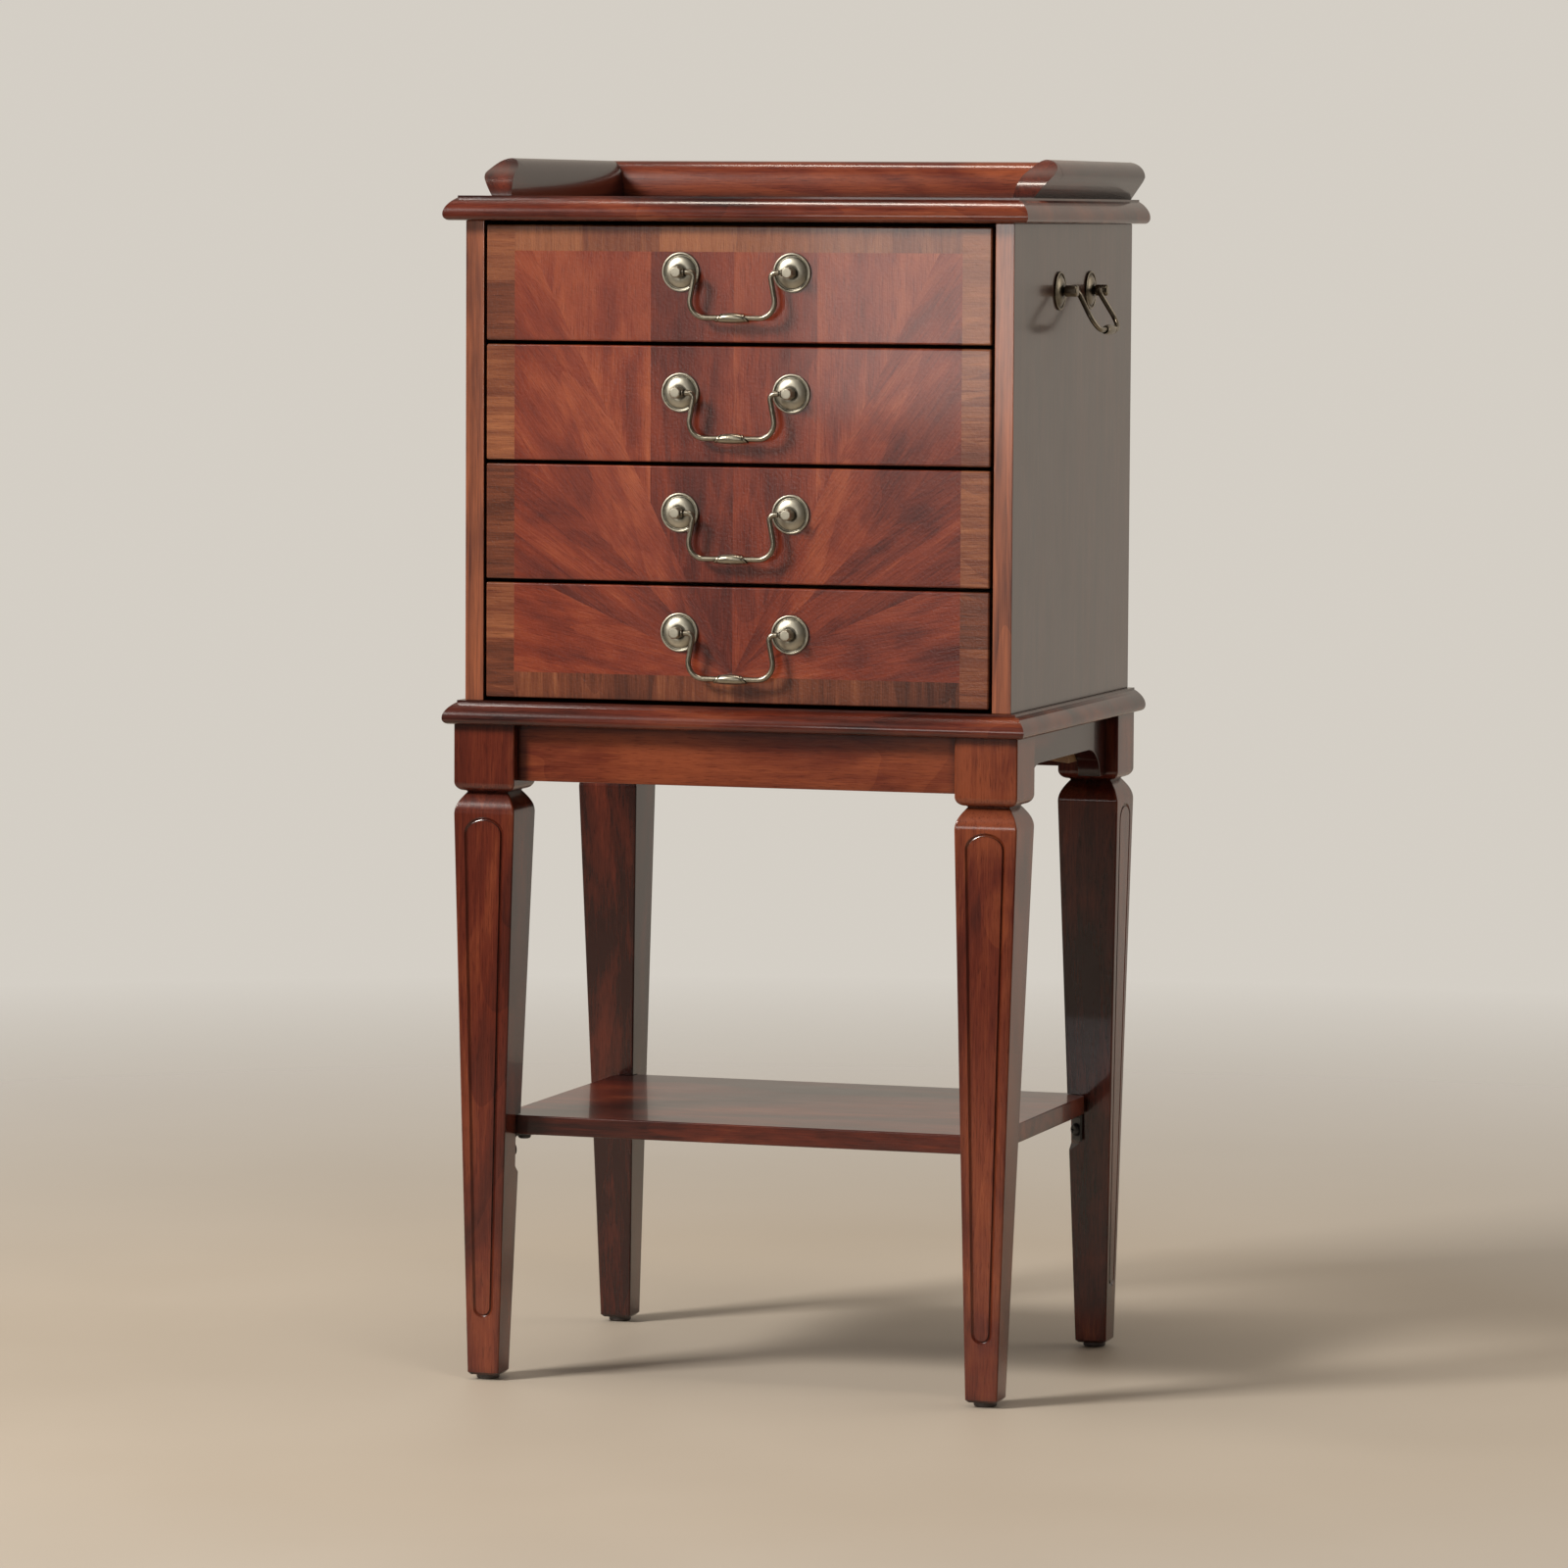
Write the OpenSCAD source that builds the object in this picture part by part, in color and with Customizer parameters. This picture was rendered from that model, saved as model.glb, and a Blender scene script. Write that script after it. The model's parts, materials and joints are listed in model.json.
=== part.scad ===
// Jewelry armoire: a chest of small drawers on an open stand with a low shelf.
// Frame: +X right, +Y back, +Z up. The origin is on the floor, under the middle of the whole piece.

/* [Case] */
// Width of the case over its side panels
case_w = 438.4; // [380:0.2:540]
// Depth of the case
case_d = 342; // [300:1:430]
// Thickness of the side panels
side_t = 15; // [12:0.5:20]
// Thickness of the back panel
back_t = 5; // [3:0.5:8]
// Thickness of the top panel
top_t = 19; // [16:0.5:28]
// Thickness of the base panel under the drawers
base_t = 18.3; // [16:0.1:28]
// Overhang of both moulded panels at the front and the sides
overhang = 14.2; // [10:0.2:24]
// Overhang of both moulded panels at the back
overhang_back = 2; // [0:0.5:8]

/* [Drawers] */
// Number of drawers
drawer_count = 4; // [2:1:5]
// Height of a drawer front
front_h = 88.7; // [70:0.1:120]
// Gap above, below and between the drawer fronts
front_gap = 2.9; // [1.5:0.1:4]
// Gap between a drawer front and the case side
side_gap = 2.3; // [1.5:0.1:4]
// Thickness of a drawer front
front_t = 18; // [14:0.5:24]
// How far the fronts stand proud of the case
front_proud = 0.8; // [0:0.1:3]
// Radius of the eased edges of the fronts
front_ease = 1.5; // [0.5:0.1:3]
// Thickness of the drawer box sides and back
box_t = 10; // [8:0.5:14]
// Height of the drawer box sides
box_h = 66; // [45:1:66]
// Length of the drawer box behind the front
box_len = 295; // [240:1:295]
// Thickness of the drawer bottom
bottom_t = 4; // [3:0.5:6]
// Depth of the groove that holds the drawer bottom
bottom_groove = 4; // [2:0.5:5]
// Thickness of the felt lining
felt_t = 2; // [1:0.5:4]
// Height of a wooden drawer runner
runner_h = 10; // [8:0.5:14]
// Running clearance of a drawer on its runners
run_gap = 0.4; // [0.3:0.1:1]

/* [Top drawer] */
// Thickness of the divider in the top drawer
divider_t = 6; // [4:0.5:10]
// Height of that divider above the lining
divider_h = 42; // [30:1:44]
// Number of ring rolls
roll_count = 13; // [8:1:16]
// Height of a ring roll
roll_h = 16; // [12:0.5:24]
// Gap between ring rolls
roll_gap = 0.8; // [0.5:0.1:3]

/* [Bail pulls] */
// Distance between the two posts of a pull
pull_span = 88.9; // [76.2:0.1:96]
// Height of the pull posts above the middle of a drawer front
pull_rise = 9; // [0:0.5:12]
// Radius of the round rosettes
rosette_r = 15; // [12:0.5:18]
// Height of the rosette dome
rosette_h = 3.4; // [2.5:0.1:5]
// Reach of a post in front of the surface it stands on
post_reach = 15; // [15:0.5:22]
// Half the width of the eight-sided post, across its flats
post_r = 4.3; // [4:0.1:6]
// Distance of the bail hinge in front of the surface
hinge_reach = 10.5; // [9:0.1:11]
// Radius of the bail rod
rod_r = 1.9; // [1.5:0.1:2.5]
// Radius of the hinge pins at the ends of the bail
pin_r = 1.5; // [1:0.1:1.8]
// Radial clearance of a hinge pin in its post
pin_gap = 0.06; // [0.03:0.01:0.1]
// Drop from the hinge to the middle of the grip
bail_drop = 34.5; // [32:0.1:40]
// Radius of the grip at its middle
grip_r = 3.9; // [3:0.1:5]
// Distance of the side handles below the top of the case sides
handle_drop = 51.5; // [30:0.5:120]
// How far the side handles stand away from hanging straight, in degrees
handle_swing = 30; // [0:1:45]

/* [Tray rim] */
// Height of the rim on the top panel
rim_h = 29.5; // [20:0.5:45]
// Thickness of the rim at its foot
rim_t = 16; // [12:0.5:20]
// Flare of the rim's outer face
rim_flare = 11.6; // [6:0.2:16]
// Inset of the rim's foot from the side of the case
rim_inset = 1.2; // [0:0.2:6]
// Distance of the scrolled front ends behind the case front
rim_start = 55; // [20:1:110]
// Length of the scrolled front ends
scroll_len = 41; // [25:1:60]

/* [Stand] */
// Height of the stand, from the legs' wooden ends to the base panel
stand_h = 507.4; // [420:0.2:620]
// Width of a leg at its square block
block_w = 49.4; // [42:0.2:60]
// Height of that block
block_h = 52; // [46:0.5:70]
// How far the blocks stand outside the case at the sides
block_out_x = 7.1; // [2:0.1:10]
// How far the front blocks stand in front of the case
block_out_y = 5.9; // [2:0.1:10]
// How far the rear blocks stand inside the back of the case
block_in_back = 5.8; // [0:0.1:12]
// Width of a leg at the floor
foot_w = 25.5; // [20:0.5:34]
// Depth of the neck under the block
neck_in = 8.2; // [4:0.2:10]
// Height of the shoulder under the neck
shoulder_h = 17; // [12:0.5:24]
// Radius of the rounded lower edge of the block
block_ease = 7; // [3:0.5:7.5]
// Thickness of the aprons
apron_t = 18; // [14:0.5:22]
// Height of the front and rear aprons
apron_h = 43.5; // [34:0.5:45]
// Setback of the aprons from the faces of the blocks
apron_set = 10; // [4:0.5:14]
// Height of the side aprons at their ends
side_apron_h = 48; // [40:0.5:50]
// Rise of the arch in the side aprons
arch_rise = 23; // [10:0.5:28]
// Distance from a block to the start of the arch
arch_start = 17; // [8:0.5:40]

/* [Leg panels] */
// Distance from the top of the carved panel to the neck
panel_top = 20.5; // [18:0.5:40]
// Distance from the foot to the lower end of the carved panel
panel_low = 45; // [20:1:100]
// Half the width of the carved panel at its arch
panel_w_top = 15; // [10:0.5:18]
// Half the width of the carved panel at its lower end
panel_w_low = 6.9; // [4:0.1:9]
// Width of the carved groove
groove_w = 2.2; // [1:0.1:3]
// Depth of the carved groove
groove_d = 1.4; // [0.6:0.1:2.5]

/* [Shelf] */
// Height of the shelf's underside above the legs' wooden ends
shelf_z = 186.5; // [120:0.5:280]
// Thickness of the shelf
shelf_t = 15; // [12:0.5:20]
// Inset of the shelf's edges from the outer faces of the blocks
shelf_inset = 27; // [22:0.5:34]
// Depth of the flat on a leg's inner corner, measured along one face
corner_cut = 11; // [8:0.5:14]
// Gap between the shelf and the flats on the legs
shelf_gap = 0.4; // [0.2:0.1:1]
// Thickness of the shelf brackets
bracket_t = 2; // [1.5:0.1:3]
// Length of each arm of a bracket
bracket_arm = 22; // [18:0.5:30]
// Width of a bracket
bracket_w = 13; // [10:0.5:14]

/* [Feet] */
// Height of the glides under the legs
glide_h = 4; // [3:0.5:8]
// Radius of the glides
glide_r = 9; // [7:0.5:11]

/* [Hidden] */
$fn = 48;

// Fixed small sizes
step_h = 1.6;            // flat step on top of the moulded edge
step_in = 9.3;           // inset of that step
nose_r = 4.5;            // rounded lower nose of the moulded edge
curve_n = 10;            // steps along a curved edge
stud_r = 2;              // threaded stud of a pull post
nut_r = 4;               // nut on that stud
nut_t = 3;               // thickness of that nut
handle_stud = 12;        // stud of a handle post inside the side panel
pin_depth = 3.8;         // how deep a hinge pin goes into its post
seat_gap = 0.3;          // clearance of loose-fitting pieces
runner_proud = 4.2;      // how far a runner reaches into a drawer side
bottom_up = 6;           // drawer bottom above the lower edge of the sides
foot_ease = 2;           // eased edge at the end of a leg
rebate_w = 7;            // rebate for the back panel, across the side panel
back_in = 1;             // back panel inside the rear edge of the side panels
brace_t = 18;            // thickness of the corner braces
brace_h = 36;            // height of the corner braces
runout = 12;             // sloped end of the flat on a leg

// Colours
cherry = "#6b2f22";
veneer = "#8a4a35";
dark_cherry = "#4f2820";
box_wood = "#b98a5a";
pewter = "#8c877c";
black = "#18181a";
felt = "#5b1f2a";

// Heights
wood_z = glide_h;
base_z = wood_z + stand_h;
floor_z = base_z + base_t;
opening_h = drawer_count*front_h + (drawer_count + 1)*front_gap;
top_z = floor_z + opening_h;
rim_z = top_z + top_t;

// Plan: the deepest front point is a post's tip, the deepest back point is the moulded panels
front_y = -(case_d + overhang_back - front_proud - post_reach)/2;
back_y = front_y + case_d;
half_w = case_w/2;
opening_x = half_w - side_t;
slab_x = half_w + overhang;
slab_front = front_y - overhang;
slab_back = back_y + overhang_back;

// Stand
block_x = half_w + block_out_x;
block_front = front_y - block_out_y;
block_back = back_y - block_in_back;
block_z = base_z - block_h;
shoulder_z = block_z - 1 - shoulder_h;
taper = block_w - foot_w;
taper_len = shoulder_z - wood_z;
panel_tilt = atan(taper/2/taper_len);

// Shelf and the flats that carry it
shelf_low = wood_z + shelf_z;
shelf_top = shelf_low + shelf_t;
taper_left = 1 - (shelf_low + shelf_t/2 - wood_z)/taper_len;
leg_in_x = block_w - taper/2*taper_left;
leg_in_y = block_w - taper*taper_left;
flat_sum = leg_in_x + leg_in_y - corner_cut;

// Drawers
drawer_face = front_y - front_proud;
front_x = opening_x - side_gap;
box_x = front_x - 0.5;
box_front = drawer_face + front_t;
box_back = box_front + box_len;
box_up = (front_h - box_h)/2 - 2;
runner_up = box_h/2 - runner_h/2;
cabin_x = box_x - box_t;
cabin_back = box_back - box_t;
lining_up = bottom_up + bottom_t + felt_t;
function drawer_z(k) = floor_z + front_gap + (drawer_count - k)*(front_h + front_gap);
function box_z(k) = drawer_z(k) + box_up;
function pull_z(k) = drawer_z(k) + front_h/2 + pull_rise;

// Bail: rod bends round the neck, crosses to the belly, and runs to the grip
neck_bend = 4.2;
neck_c = [9.5, -neck_bend];
belly_r = 12.3;
belly_c = [22.9, belly_r - bail_drop];
bend_gap = norm(belly_c - neck_c);
bend_dir = atan2(belly_c[1] - neck_c[1], belly_c[0] - neck_c[0]);
cross_a = bend_dir + acos((neck_bend + belly_r)/bend_gap);
neck_end = neck_c + neck_bend*[cos(cross_a), sin(cross_a)];
belly_start = belly_c - belly_r*[cos(cross_a), sin(cross_a)];
grip_half = 14.5;

DRAWER_PARTS = ["front", "sides", "back", "bottom", "lining", "rosettes", "posts", "bail"];

// ---------- curves and helpers ----------

function arc_points(c, r, a0, a1, n) =
    [for (i = [0:n]) let (a = a0 + (a1 - a0)*i/n) [c[0] + r[0]*cos(a), c[1] + r[1]*sin(a)]];

function bezier(p0, p1, p2, p3, n) =
    [for (i = [0:n]) let (t = i/n, s = 1 - t) s*s*s*p0 + 3*s*s*t*p1 + 3*s*t*t*p2 + t*t*t*p3];

function reversed(list) = [for (i = [len(list) - 1:-1:0]) list[i]];

// A section drawn in (y, z), run along X
module along_x(x0, x1) {
    translate([x0, 0, 0]) rotate([90, 0, 90]) linear_extrude(x1 - x0) children();
}

// A section drawn in (x, z), run along Y
module along_y(y0, y1) {
    translate([0, y1, 0]) rotate([90, 0, 0]) linear_extrude(y1 - y0) children();
}

module box(low, high) {
    translate(low) cube(high - low);
}

module both_sides() {
    children();
    mirror([1, 0, 0]) children();
}

// ---------- moulded panels ----------

// Moulded edge from the underside up, as [inward, up]
function slab_edge(t) = concat(
    arc_points([nose_r, nose_r], [nose_r, nose_r], 270, 180, 6),
    bezier([0, nose_r + 0.5], [0, 0.5*t], [0.43*step_in, 0.76*t], [step_in, t - step_h], curve_n),
    [[step_in, t]]);

module moulded_slab(t) {
    edge = slab_edge(t);
    intersection() {
        along_x(-slab_x, slab_x)
            polygon(concat([for (p = edge) [slab_front + p[0], p[1]]], [[slab_back, t], [slab_back, 0]]));
        along_y(slab_front, slab_back)
            polygon(concat([for (p = edge) [p[0] - slab_x, p[1]]],
                           reversed([for (p = edge) [slab_x - p[0], p[1]]])));
    }
}

module top_panel() {
    color(cherry) translate([0, 0, top_z]) moulded_slab(top_t);
}

module base_panel() {
    color(cherry) translate([0, 0, base_z]) moulded_slab(base_t);
}

// ---------- tray rim ----------

rim_x = half_w - rim_inset - rim_t;
rim_back_y = back_y - 1;

// Inner face and top of the rim, as [outward, up]
function rim_inner() = bezier([0, 0], [0.5, 0.4*rim_h], [4, 0.95*rim_h], [0.88*rim_t, rim_h], curve_n);

function rim_outer() = concat(
    bezier([0.88*rim_t, rim_h], [rim_t + 0.45*rim_flare, rim_h], [rim_t + rim_flare, 0.83*rim_h],
           [rim_t + rim_flare, 0.6*rim_h], curve_n),
    [[rim_t + 0.86*rim_flare, 0.48*rim_h], [rim_t, 0]]);

// Scrolled end of a side rim, as [back, up]
function rim_end() = concat(
    bezier([0, 0], [0.04*scroll_len, 0.17*rim_h], [0.15*scroll_len, 0.41*rim_h],
           [0.32*scroll_len, 0.535*rim_h], curve_n),
    bezier([0.32*scroll_len, 0.535*rim_h], [0.54*scroll_len, 0.7*rim_h], [0.8*scroll_len, 0.73*rim_h],
           [scroll_len, rim_h], curve_n));

module side_rim() {
    start = front_y + rim_start;
    section = concat(rim_inner(), rim_outer());
    far = rim_t + rim_flare + 1;
    corner = rim_back_y - rim_t;
    translate([rim_x, 0, rim_z]) intersection() {
        along_y(start, rim_back_y) polygon(section);
        along_x(0, far) polygon(concat([for (p = rim_end()) [start + p[0], p[1]]],
                                       [[rim_back_y, rim_h], [rim_back_y, 0]]));
        linear_extrude(rim_h) polygon([[0, start], [far, start], [far, rim_back_y], [rim_t, rim_back_y],
                                       [0, corner]]);
    }
}

module rim_right() {
    color(cherry) side_rim();
}

module rim_left() {
    color(cherry) mirror([1, 0, 0]) side_rim();
}

module rim_back() {
    inner = rim_back_y - rim_t;
    section = concat([for (p = rim_inner()) [inner + p[0], p[1]]], [[rim_back_y, rim_h], [rim_back_y, 0]]);
    color(cherry) translate([0, 0, rim_z]) intersection() {
        along_x(-half_w, half_w) polygon(section);
        linear_extrude(rim_h) polygon([[-rim_x, inner], [rim_x, inner], [rim_x + rim_t, rim_back_y],
                                       [-rim_x - rim_t, rim_back_y]]);
    }
}

// ---------- case ----------

module side_panel() {
    difference() {
        box([opening_x, front_y, floor_z], [half_w, back_y, top_z]);
        box([opening_x - 1, back_y - back_in - back_t, floor_z - 1],
            [opening_x + rebate_w, back_y + 1, top_z + 1]);
    }
}

module side_panel_right() {
    color(cherry) side_panel();
}

module side_panel_left() {
    color(cherry) mirror([1, 0, 0]) side_panel();
}

module back_panel() {
    edge_x = opening_x + rebate_w - seat_gap;
    color(dark_cherry) box([-edge_x, back_y - back_in - back_t, floor_z], [edge_x, back_y - back_in, top_z]);
}

module drawer_runners() {
    inner_x = box_x - runner_proud;
    color(box_wood) both_sides() for (k = [1:drawer_count]) {
        low = box_z(k) + runner_up;
        box([inner_x, box_front + seat_gap, low],
            [opening_x, back_y - back_in - back_t - seat_gap, low + runner_h]);
    }
}

// ---------- drawers ----------

module drawer_front(k) {
    r = front_ease;
    z0 = drawer_z(k);
    lip = arc_points([r, r], [r, r], 270, 180, 4);
    color(veneer) difference() {
        intersection() {
            along_x(-front_x, front_x)
                polygon(concat([for (p = lip) [drawer_face + p[0], z0 + p[1]]],
                               reversed([for (p = lip) [drawer_face + p[0], z0 + front_h - p[1]]]),
                               [[box_front, z0 + front_h], [box_front, z0]]));
            translate([0, 0, z0]) linear_extrude(front_h)
                polygon(concat([for (p = lip) [p[1] - front_x, drawer_face + p[0]]],
                               reversed([for (p = lip) [front_x - p[1], drawer_face + p[0]]]),
                               [[front_x, box_front], [-front_x, box_front]]));
        }
        bottom_slot(k);
        for (x = [-pull_span/2, pull_span/2])
            translate([x, drawer_face - 1, pull_z(k)]) rotate([-90, 0, 0]) cylinder(r = stud_r, h = front_t + 2);
    }
}

// Space of the drawer bottom in its grooves
module bottom_slot(k) {
    low = box_z(k) + bottom_up;
    box([-cabin_x - bottom_groove, box_front - bottom_groove, low],
        [cabin_x + bottom_groove, box_back + 1, low + bottom_t]);
}

module drawer_sides(k) {
    groove = runner_proud + run_gap;
    low = box_z(k) + runner_up;
    color(box_wood) both_sides() difference() {
        box([cabin_x, box_front, box_z(k)], [box_x, box_back, box_z(k) + box_h]);
        box([box_x - groove, box_front - 1, low - run_gap], [box_x + 1, box_back + 1, low + runner_h + run_gap]);
        bottom_slot(k);
    }
}

module drawer_back(k) {
    low = box_z(k) + bottom_up + bottom_t;
    color(box_wood) box([-cabin_x, cabin_back, low], [cabin_x, box_back, box_z(k) + box_h]);
}

module drawer_bottom(k) {
    low = box_z(k) + bottom_up;
    color(box_wood) box([-cabin_x - bottom_groove + seat_gap, box_front - bottom_groove + seat_gap, low],
                        [cabin_x + bottom_groove - seat_gap, box_back, low + bottom_t]);
}

module drawer_lining(k) {
    low = box_z(k) + bottom_up + bottom_t;
    color(felt) box([-cabin_x + seat_gap, box_front + seat_gap, low],
                    [cabin_x - seat_gap, cabin_back - seat_gap, low + felt_t]);
}

module top_drawer_divider() {
    low = box_z(1) + lining_up;
    color(box_wood) box([-divider_t/2, box_front, low], [divider_t/2, cabin_back, low + divider_h]);
}

module ring_rolls() {
    low = box_z(1) + lining_up;
    room = cabin_back - box_front - 2*seat_gap;
    pitch = room/roll_count;
    width = pitch - roll_gap;
    base = roll_h - width/2;
    color(felt) for (i = [0:roll_count - 1])
        translate([0, box_front + seat_gap + (i + 0.5)*pitch, low])
            along_x(-cabin_x + 1, -divider_t/2 - 1)
                polygon(concat([[-width/2, 0], [width/2, 0]], arc_points([0, base], [width/2, width/2], 0, 180, 12)));
}

// ---------- bail pulls ----------
// A pull is drawn on the plane y = 0, facing -Y, with its hinge at z = 0 and its middle at x = 0.

module rosette() {
    hole = stud_r;
    rim = 1.3;
    profile = concat(
        [[hole, 0], [rosette_r, 0], [rosette_r, 1.1]],
        arc_points([rosette_r - rim, 1.1], [rim, rim], 0, 180, 8),
        bezier([rosette_r - 2*rim - 0.3, 1], [rosette_r - 5, 1.6], [post_r + 3.5, rosette_h], [post_r, rosette_h], 8),
        [[hole, rosette_h]]);
    rotate([90, 0, 0]) rotate_extrude() polygon(profile);
}

// One post with its stud and nut; the bore for the bail opens towards +X
module post(wall) {
    tip = 1.6;
    flat_r = post_r/cos(22.5);
    difference() {
        union() {
            rotate([90, 0, 0]) translate([0, 0, rosette_h]) cylinder(r = post_r - 0.3, h = 2);
            rotate([90, 22.5, 0]) translate([0, 0, rosette_h + 2]) {
                cylinder(r = flat_r, h = post_reach - tip - rosette_h - 2, $fn = 8);
                translate([0, 0, post_reach - tip - rosette_h - 2])
                    cylinder(r1 = flat_r, r2 = flat_r - tip, h = tip, $fn = 8);
            }
            rotate([90, 0, 0]) translate([0, 0, -wall - nut_t]) cylinder(r = stud_r, h = wall + nut_t + rosette_h + 1);
        }
        translate([post_r - pin_depth - 0.4, -hinge_reach, 0]) rotate([0, 90, 0])
            cylinder(r = pin_r + pin_gap, h = pin_depth + 2);
    }
}

module nut(wall) {
    difference() {
        rotate([-90, 0, 0]) translate([0, 0, wall]) cylinder(r = nut_r, h = nut_t, $fn = 6);
        rotate([-90, 0, 0]) translate([0, 0, wall - 1]) cylinder(r = stud_r, h = nut_t + 2);
    }
}

module pair_apart() {
    translate([-pull_span/2, 0, 0]) children();
    mirror([1, 0, 0]) translate([-pull_span/2, 0, 0]) children();
}

// A bend is a hair thinner than the straight rods, and runs a little way into them
module rod_bend(c, r, a0, a1) {
    into = 1;
    translate([c[0], 0, c[1]]) rotate([90, 0, 0]) rotate([0, 0, a0 - into])
        rotate_extrude(angle = a1 - a0 + 2*into) translate([r, 0]) circle(r = rod_r - 0.04);
}

module rod_between(p, q) {
    d = q - p;
    translate([p[0], 0, p[1]]) rotate([0, 90 - atan2(d[1], d[0]), 0]) cylinder(r = rod_r, h = norm(d));
}

// Half of the bail, from the post at x = 0 to the grip, with the hinge on the X axis
module half_bail() {
    collar = post_r + seat_gap;
    translate([post_r - pin_depth, 0, 0]) rotate([0, 90, 0]) cylinder(r = pin_r, h = pin_depth + 2);
    translate([collar, 0, 0]) rotate([0, 90, 0]) cylinder(r = rod_r + 0.7, h = 1.2);
    translate([collar + 1.2, 0, 0]) rotate([0, 90, 0]) cylinder(r = rod_r, h = neck_c[0] - collar - 1.2);
    rod_bend(neck_c, neck_bend, cross_a, 90);
    rod_between(neck_end, belly_start);
    rod_bend(belly_c, belly_r, cross_a + 180, 270);
    rod_between([belly_c[0], -bail_drop], [pull_span/2 - grip_half + 1, -bail_drop]);
}

// The thick grip in the middle of the bail, with a collar near each end
module grip() {
    half = concat(
        bezier([grip_r, 0], [grip_r, 4], [grip_r - 0.3, 7], [grip_r - 0.7, grip_half - 5], 6),
        [[rod_r + 0.5, grip_half - 4.2], [grip_r - 0.8, grip_half - 3.4], [rod_r + 0.6, grip_half],
         [0, grip_half]]);
    other = [for (i = [len(half) - 1:-1:1]) [half[i][0], -half[i][1]]];
    translate([0, 0, -bail_drop]) rotate([0, 90, 0]) rotate_extrude() polygon(concat(other, half));
}

module bail() {
    pair_apart() half_bail();
    grip();
}

module drawer_rosettes(k) {
    color(pewter) translate([0, drawer_face, pull_z(k)]) pair_apart() rosette();
}

module drawer_posts(k) {
    color(pewter) translate([0, drawer_face, pull_z(k)]) pair_apart() {
        post(front_t);
        nut(front_t);
    }
}

module drawer_bail(k) {
    color(pewter) translate([0, drawer_face - hinge_reach, pull_z(k)]) bail();
}

// ---------- side handles ----------

module on_side(side) {
    mirror([side < 0 ? 1 : 0, 0, 0])
        translate([half_w, (front_y + back_y)/2, top_z - handle_drop]) rotate([0, 0, 90]) children();
}

module handle_rosettes() {
    color(pewter) for (side = [-1, 1]) on_side(side) pair_apart() rosette();
}

module handle_posts() {
    color(pewter) for (side = [-1, 1]) on_side(side) pair_apart() post(handle_stud - nut_t);
}

module handle_bail(side) {
    color(pewter) on_side(side) translate([0, -hinge_reach, 0]) rotate([-handle_swing, 0, 0]) bail();
}

// ---------- stand ----------

// One edge of a leg's outline from the floor up, as [inward from the block's face, z]
function leg_edge(narrow) = concat(
    [[narrow + foot_ease, wood_z], [narrow, wood_z + foot_ease]],
    bezier([0, shoulder_z], [0, shoulder_z + 0.42*shoulder_h], [0.5*neck_in, block_z - 0.35*shoulder_h],
           [neck_in, block_z - 1], curve_n),
    arc_points([block_ease, block_z + block_ease], [block_ease, block_ease], 270, 180, 6),
    [[0, base_z]]);

function leg_outline(low_narrow, high_narrow) = concat(
    leg_edge(low_narrow),
    reversed([for (p = leg_edge(high_narrow)) [block_w - p[0], p[1]]]));

// Outline of the carved panel, shrunk by inset; its middle leans by lean mm for each mm downwards
function panel_outline(inset, lean) =
    let (high = block_z - panel_top - 0.8*panel_w_top,
         low = wood_z + panel_low + panel_w_low)
    [for (p = concat(arc_points([0, high], [panel_w_top - inset, 0.8*panel_w_top - inset], 0, 180, 16),
                     arc_points([0, low], [panel_w_low - inset, panel_w_low - inset], 180, 360, 12)))
        [p[0] + lean*(shoulder_z - p[1]), p[1]]];

module panel_groove(lean) {
    linear_extrude(groove_d + 4) difference() {
        polygon(panel_outline(0, lean));
        polygon(panel_outline(groove_w, lean));
    }
}

// Cut on the leg's inner corner that carries a corner of the shelf, drawn in (u, z) along the diagonal
module corner_flat() {
    u = flat_sum/sqrt(2);
    far = u + 2*corner_cut;
    low = shelf_low - bracket_arm - 3;
    rotate([0, 0, 45]) along_y(-block_w, block_w)
        polygon([[u, low], [u, shelf_top + shelf_gap], [far, shelf_top + shelf_gap], [far, low - 2*runout]]);
}

// A leg drawn from its outer corner: x and y run inwards from the block's outer faces
module leg(carve) {
    difference() {
        intersection() {
            along_y(0, block_w) polygon(leg_outline(taper/2, taper/2));
            along_x(0, block_w) polygon(leg_outline(0, taper));
        }
        corner_flat();
        if (carve == "front")
            translate([block_w/2, groove_d, 0]) rotate([90, 0, 0]) panel_groove(0);
        else
            translate([0, block_w/2, shoulder_z]) rotate([0, -panel_tilt, 0]) translate([groove_d, 0, -shoulder_z])
                rotate([90, 0, -90]) panel_groove(taper/2/taper_len);
    }
}

// Puts a piece drawn from the front left outer corner at any of the four corners
module at_corner(right, rear) {
    mirror([right ? 1 : 0, 0, 0]) translate([-block_x, rear ? block_back : block_front, 0])
        mirror([0, rear ? 1 : 0, 0]) children();
}

module at_corners() {
    for (right = [false, true], rear = [false, true]) at_corner(right, rear) children();
}

module leg_front_left() {
    color(cherry) at_corner(false, false) leg("front");
}

module leg_front_right() {
    color(cherry) at_corner(true, false) leg("front");
}

module leg_rear_left() {
    color(cherry) at_corner(false, true) leg("side");
}

module leg_rear_right() {
    color(cherry) at_corner(true, true) leg("side");
}

module cross_apron() {
    box([-block_x + block_w, 0, base_z - apron_h], [block_x - block_w, apron_t, base_z]);
}

module apron_front() {
    color(cherry) translate([0, block_front + apron_set, 0]) cross_apron();
}

module apron_rear() {
    color(cherry) translate([0, block_back - apron_set - apron_t, 0]) cross_apron();
}

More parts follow.
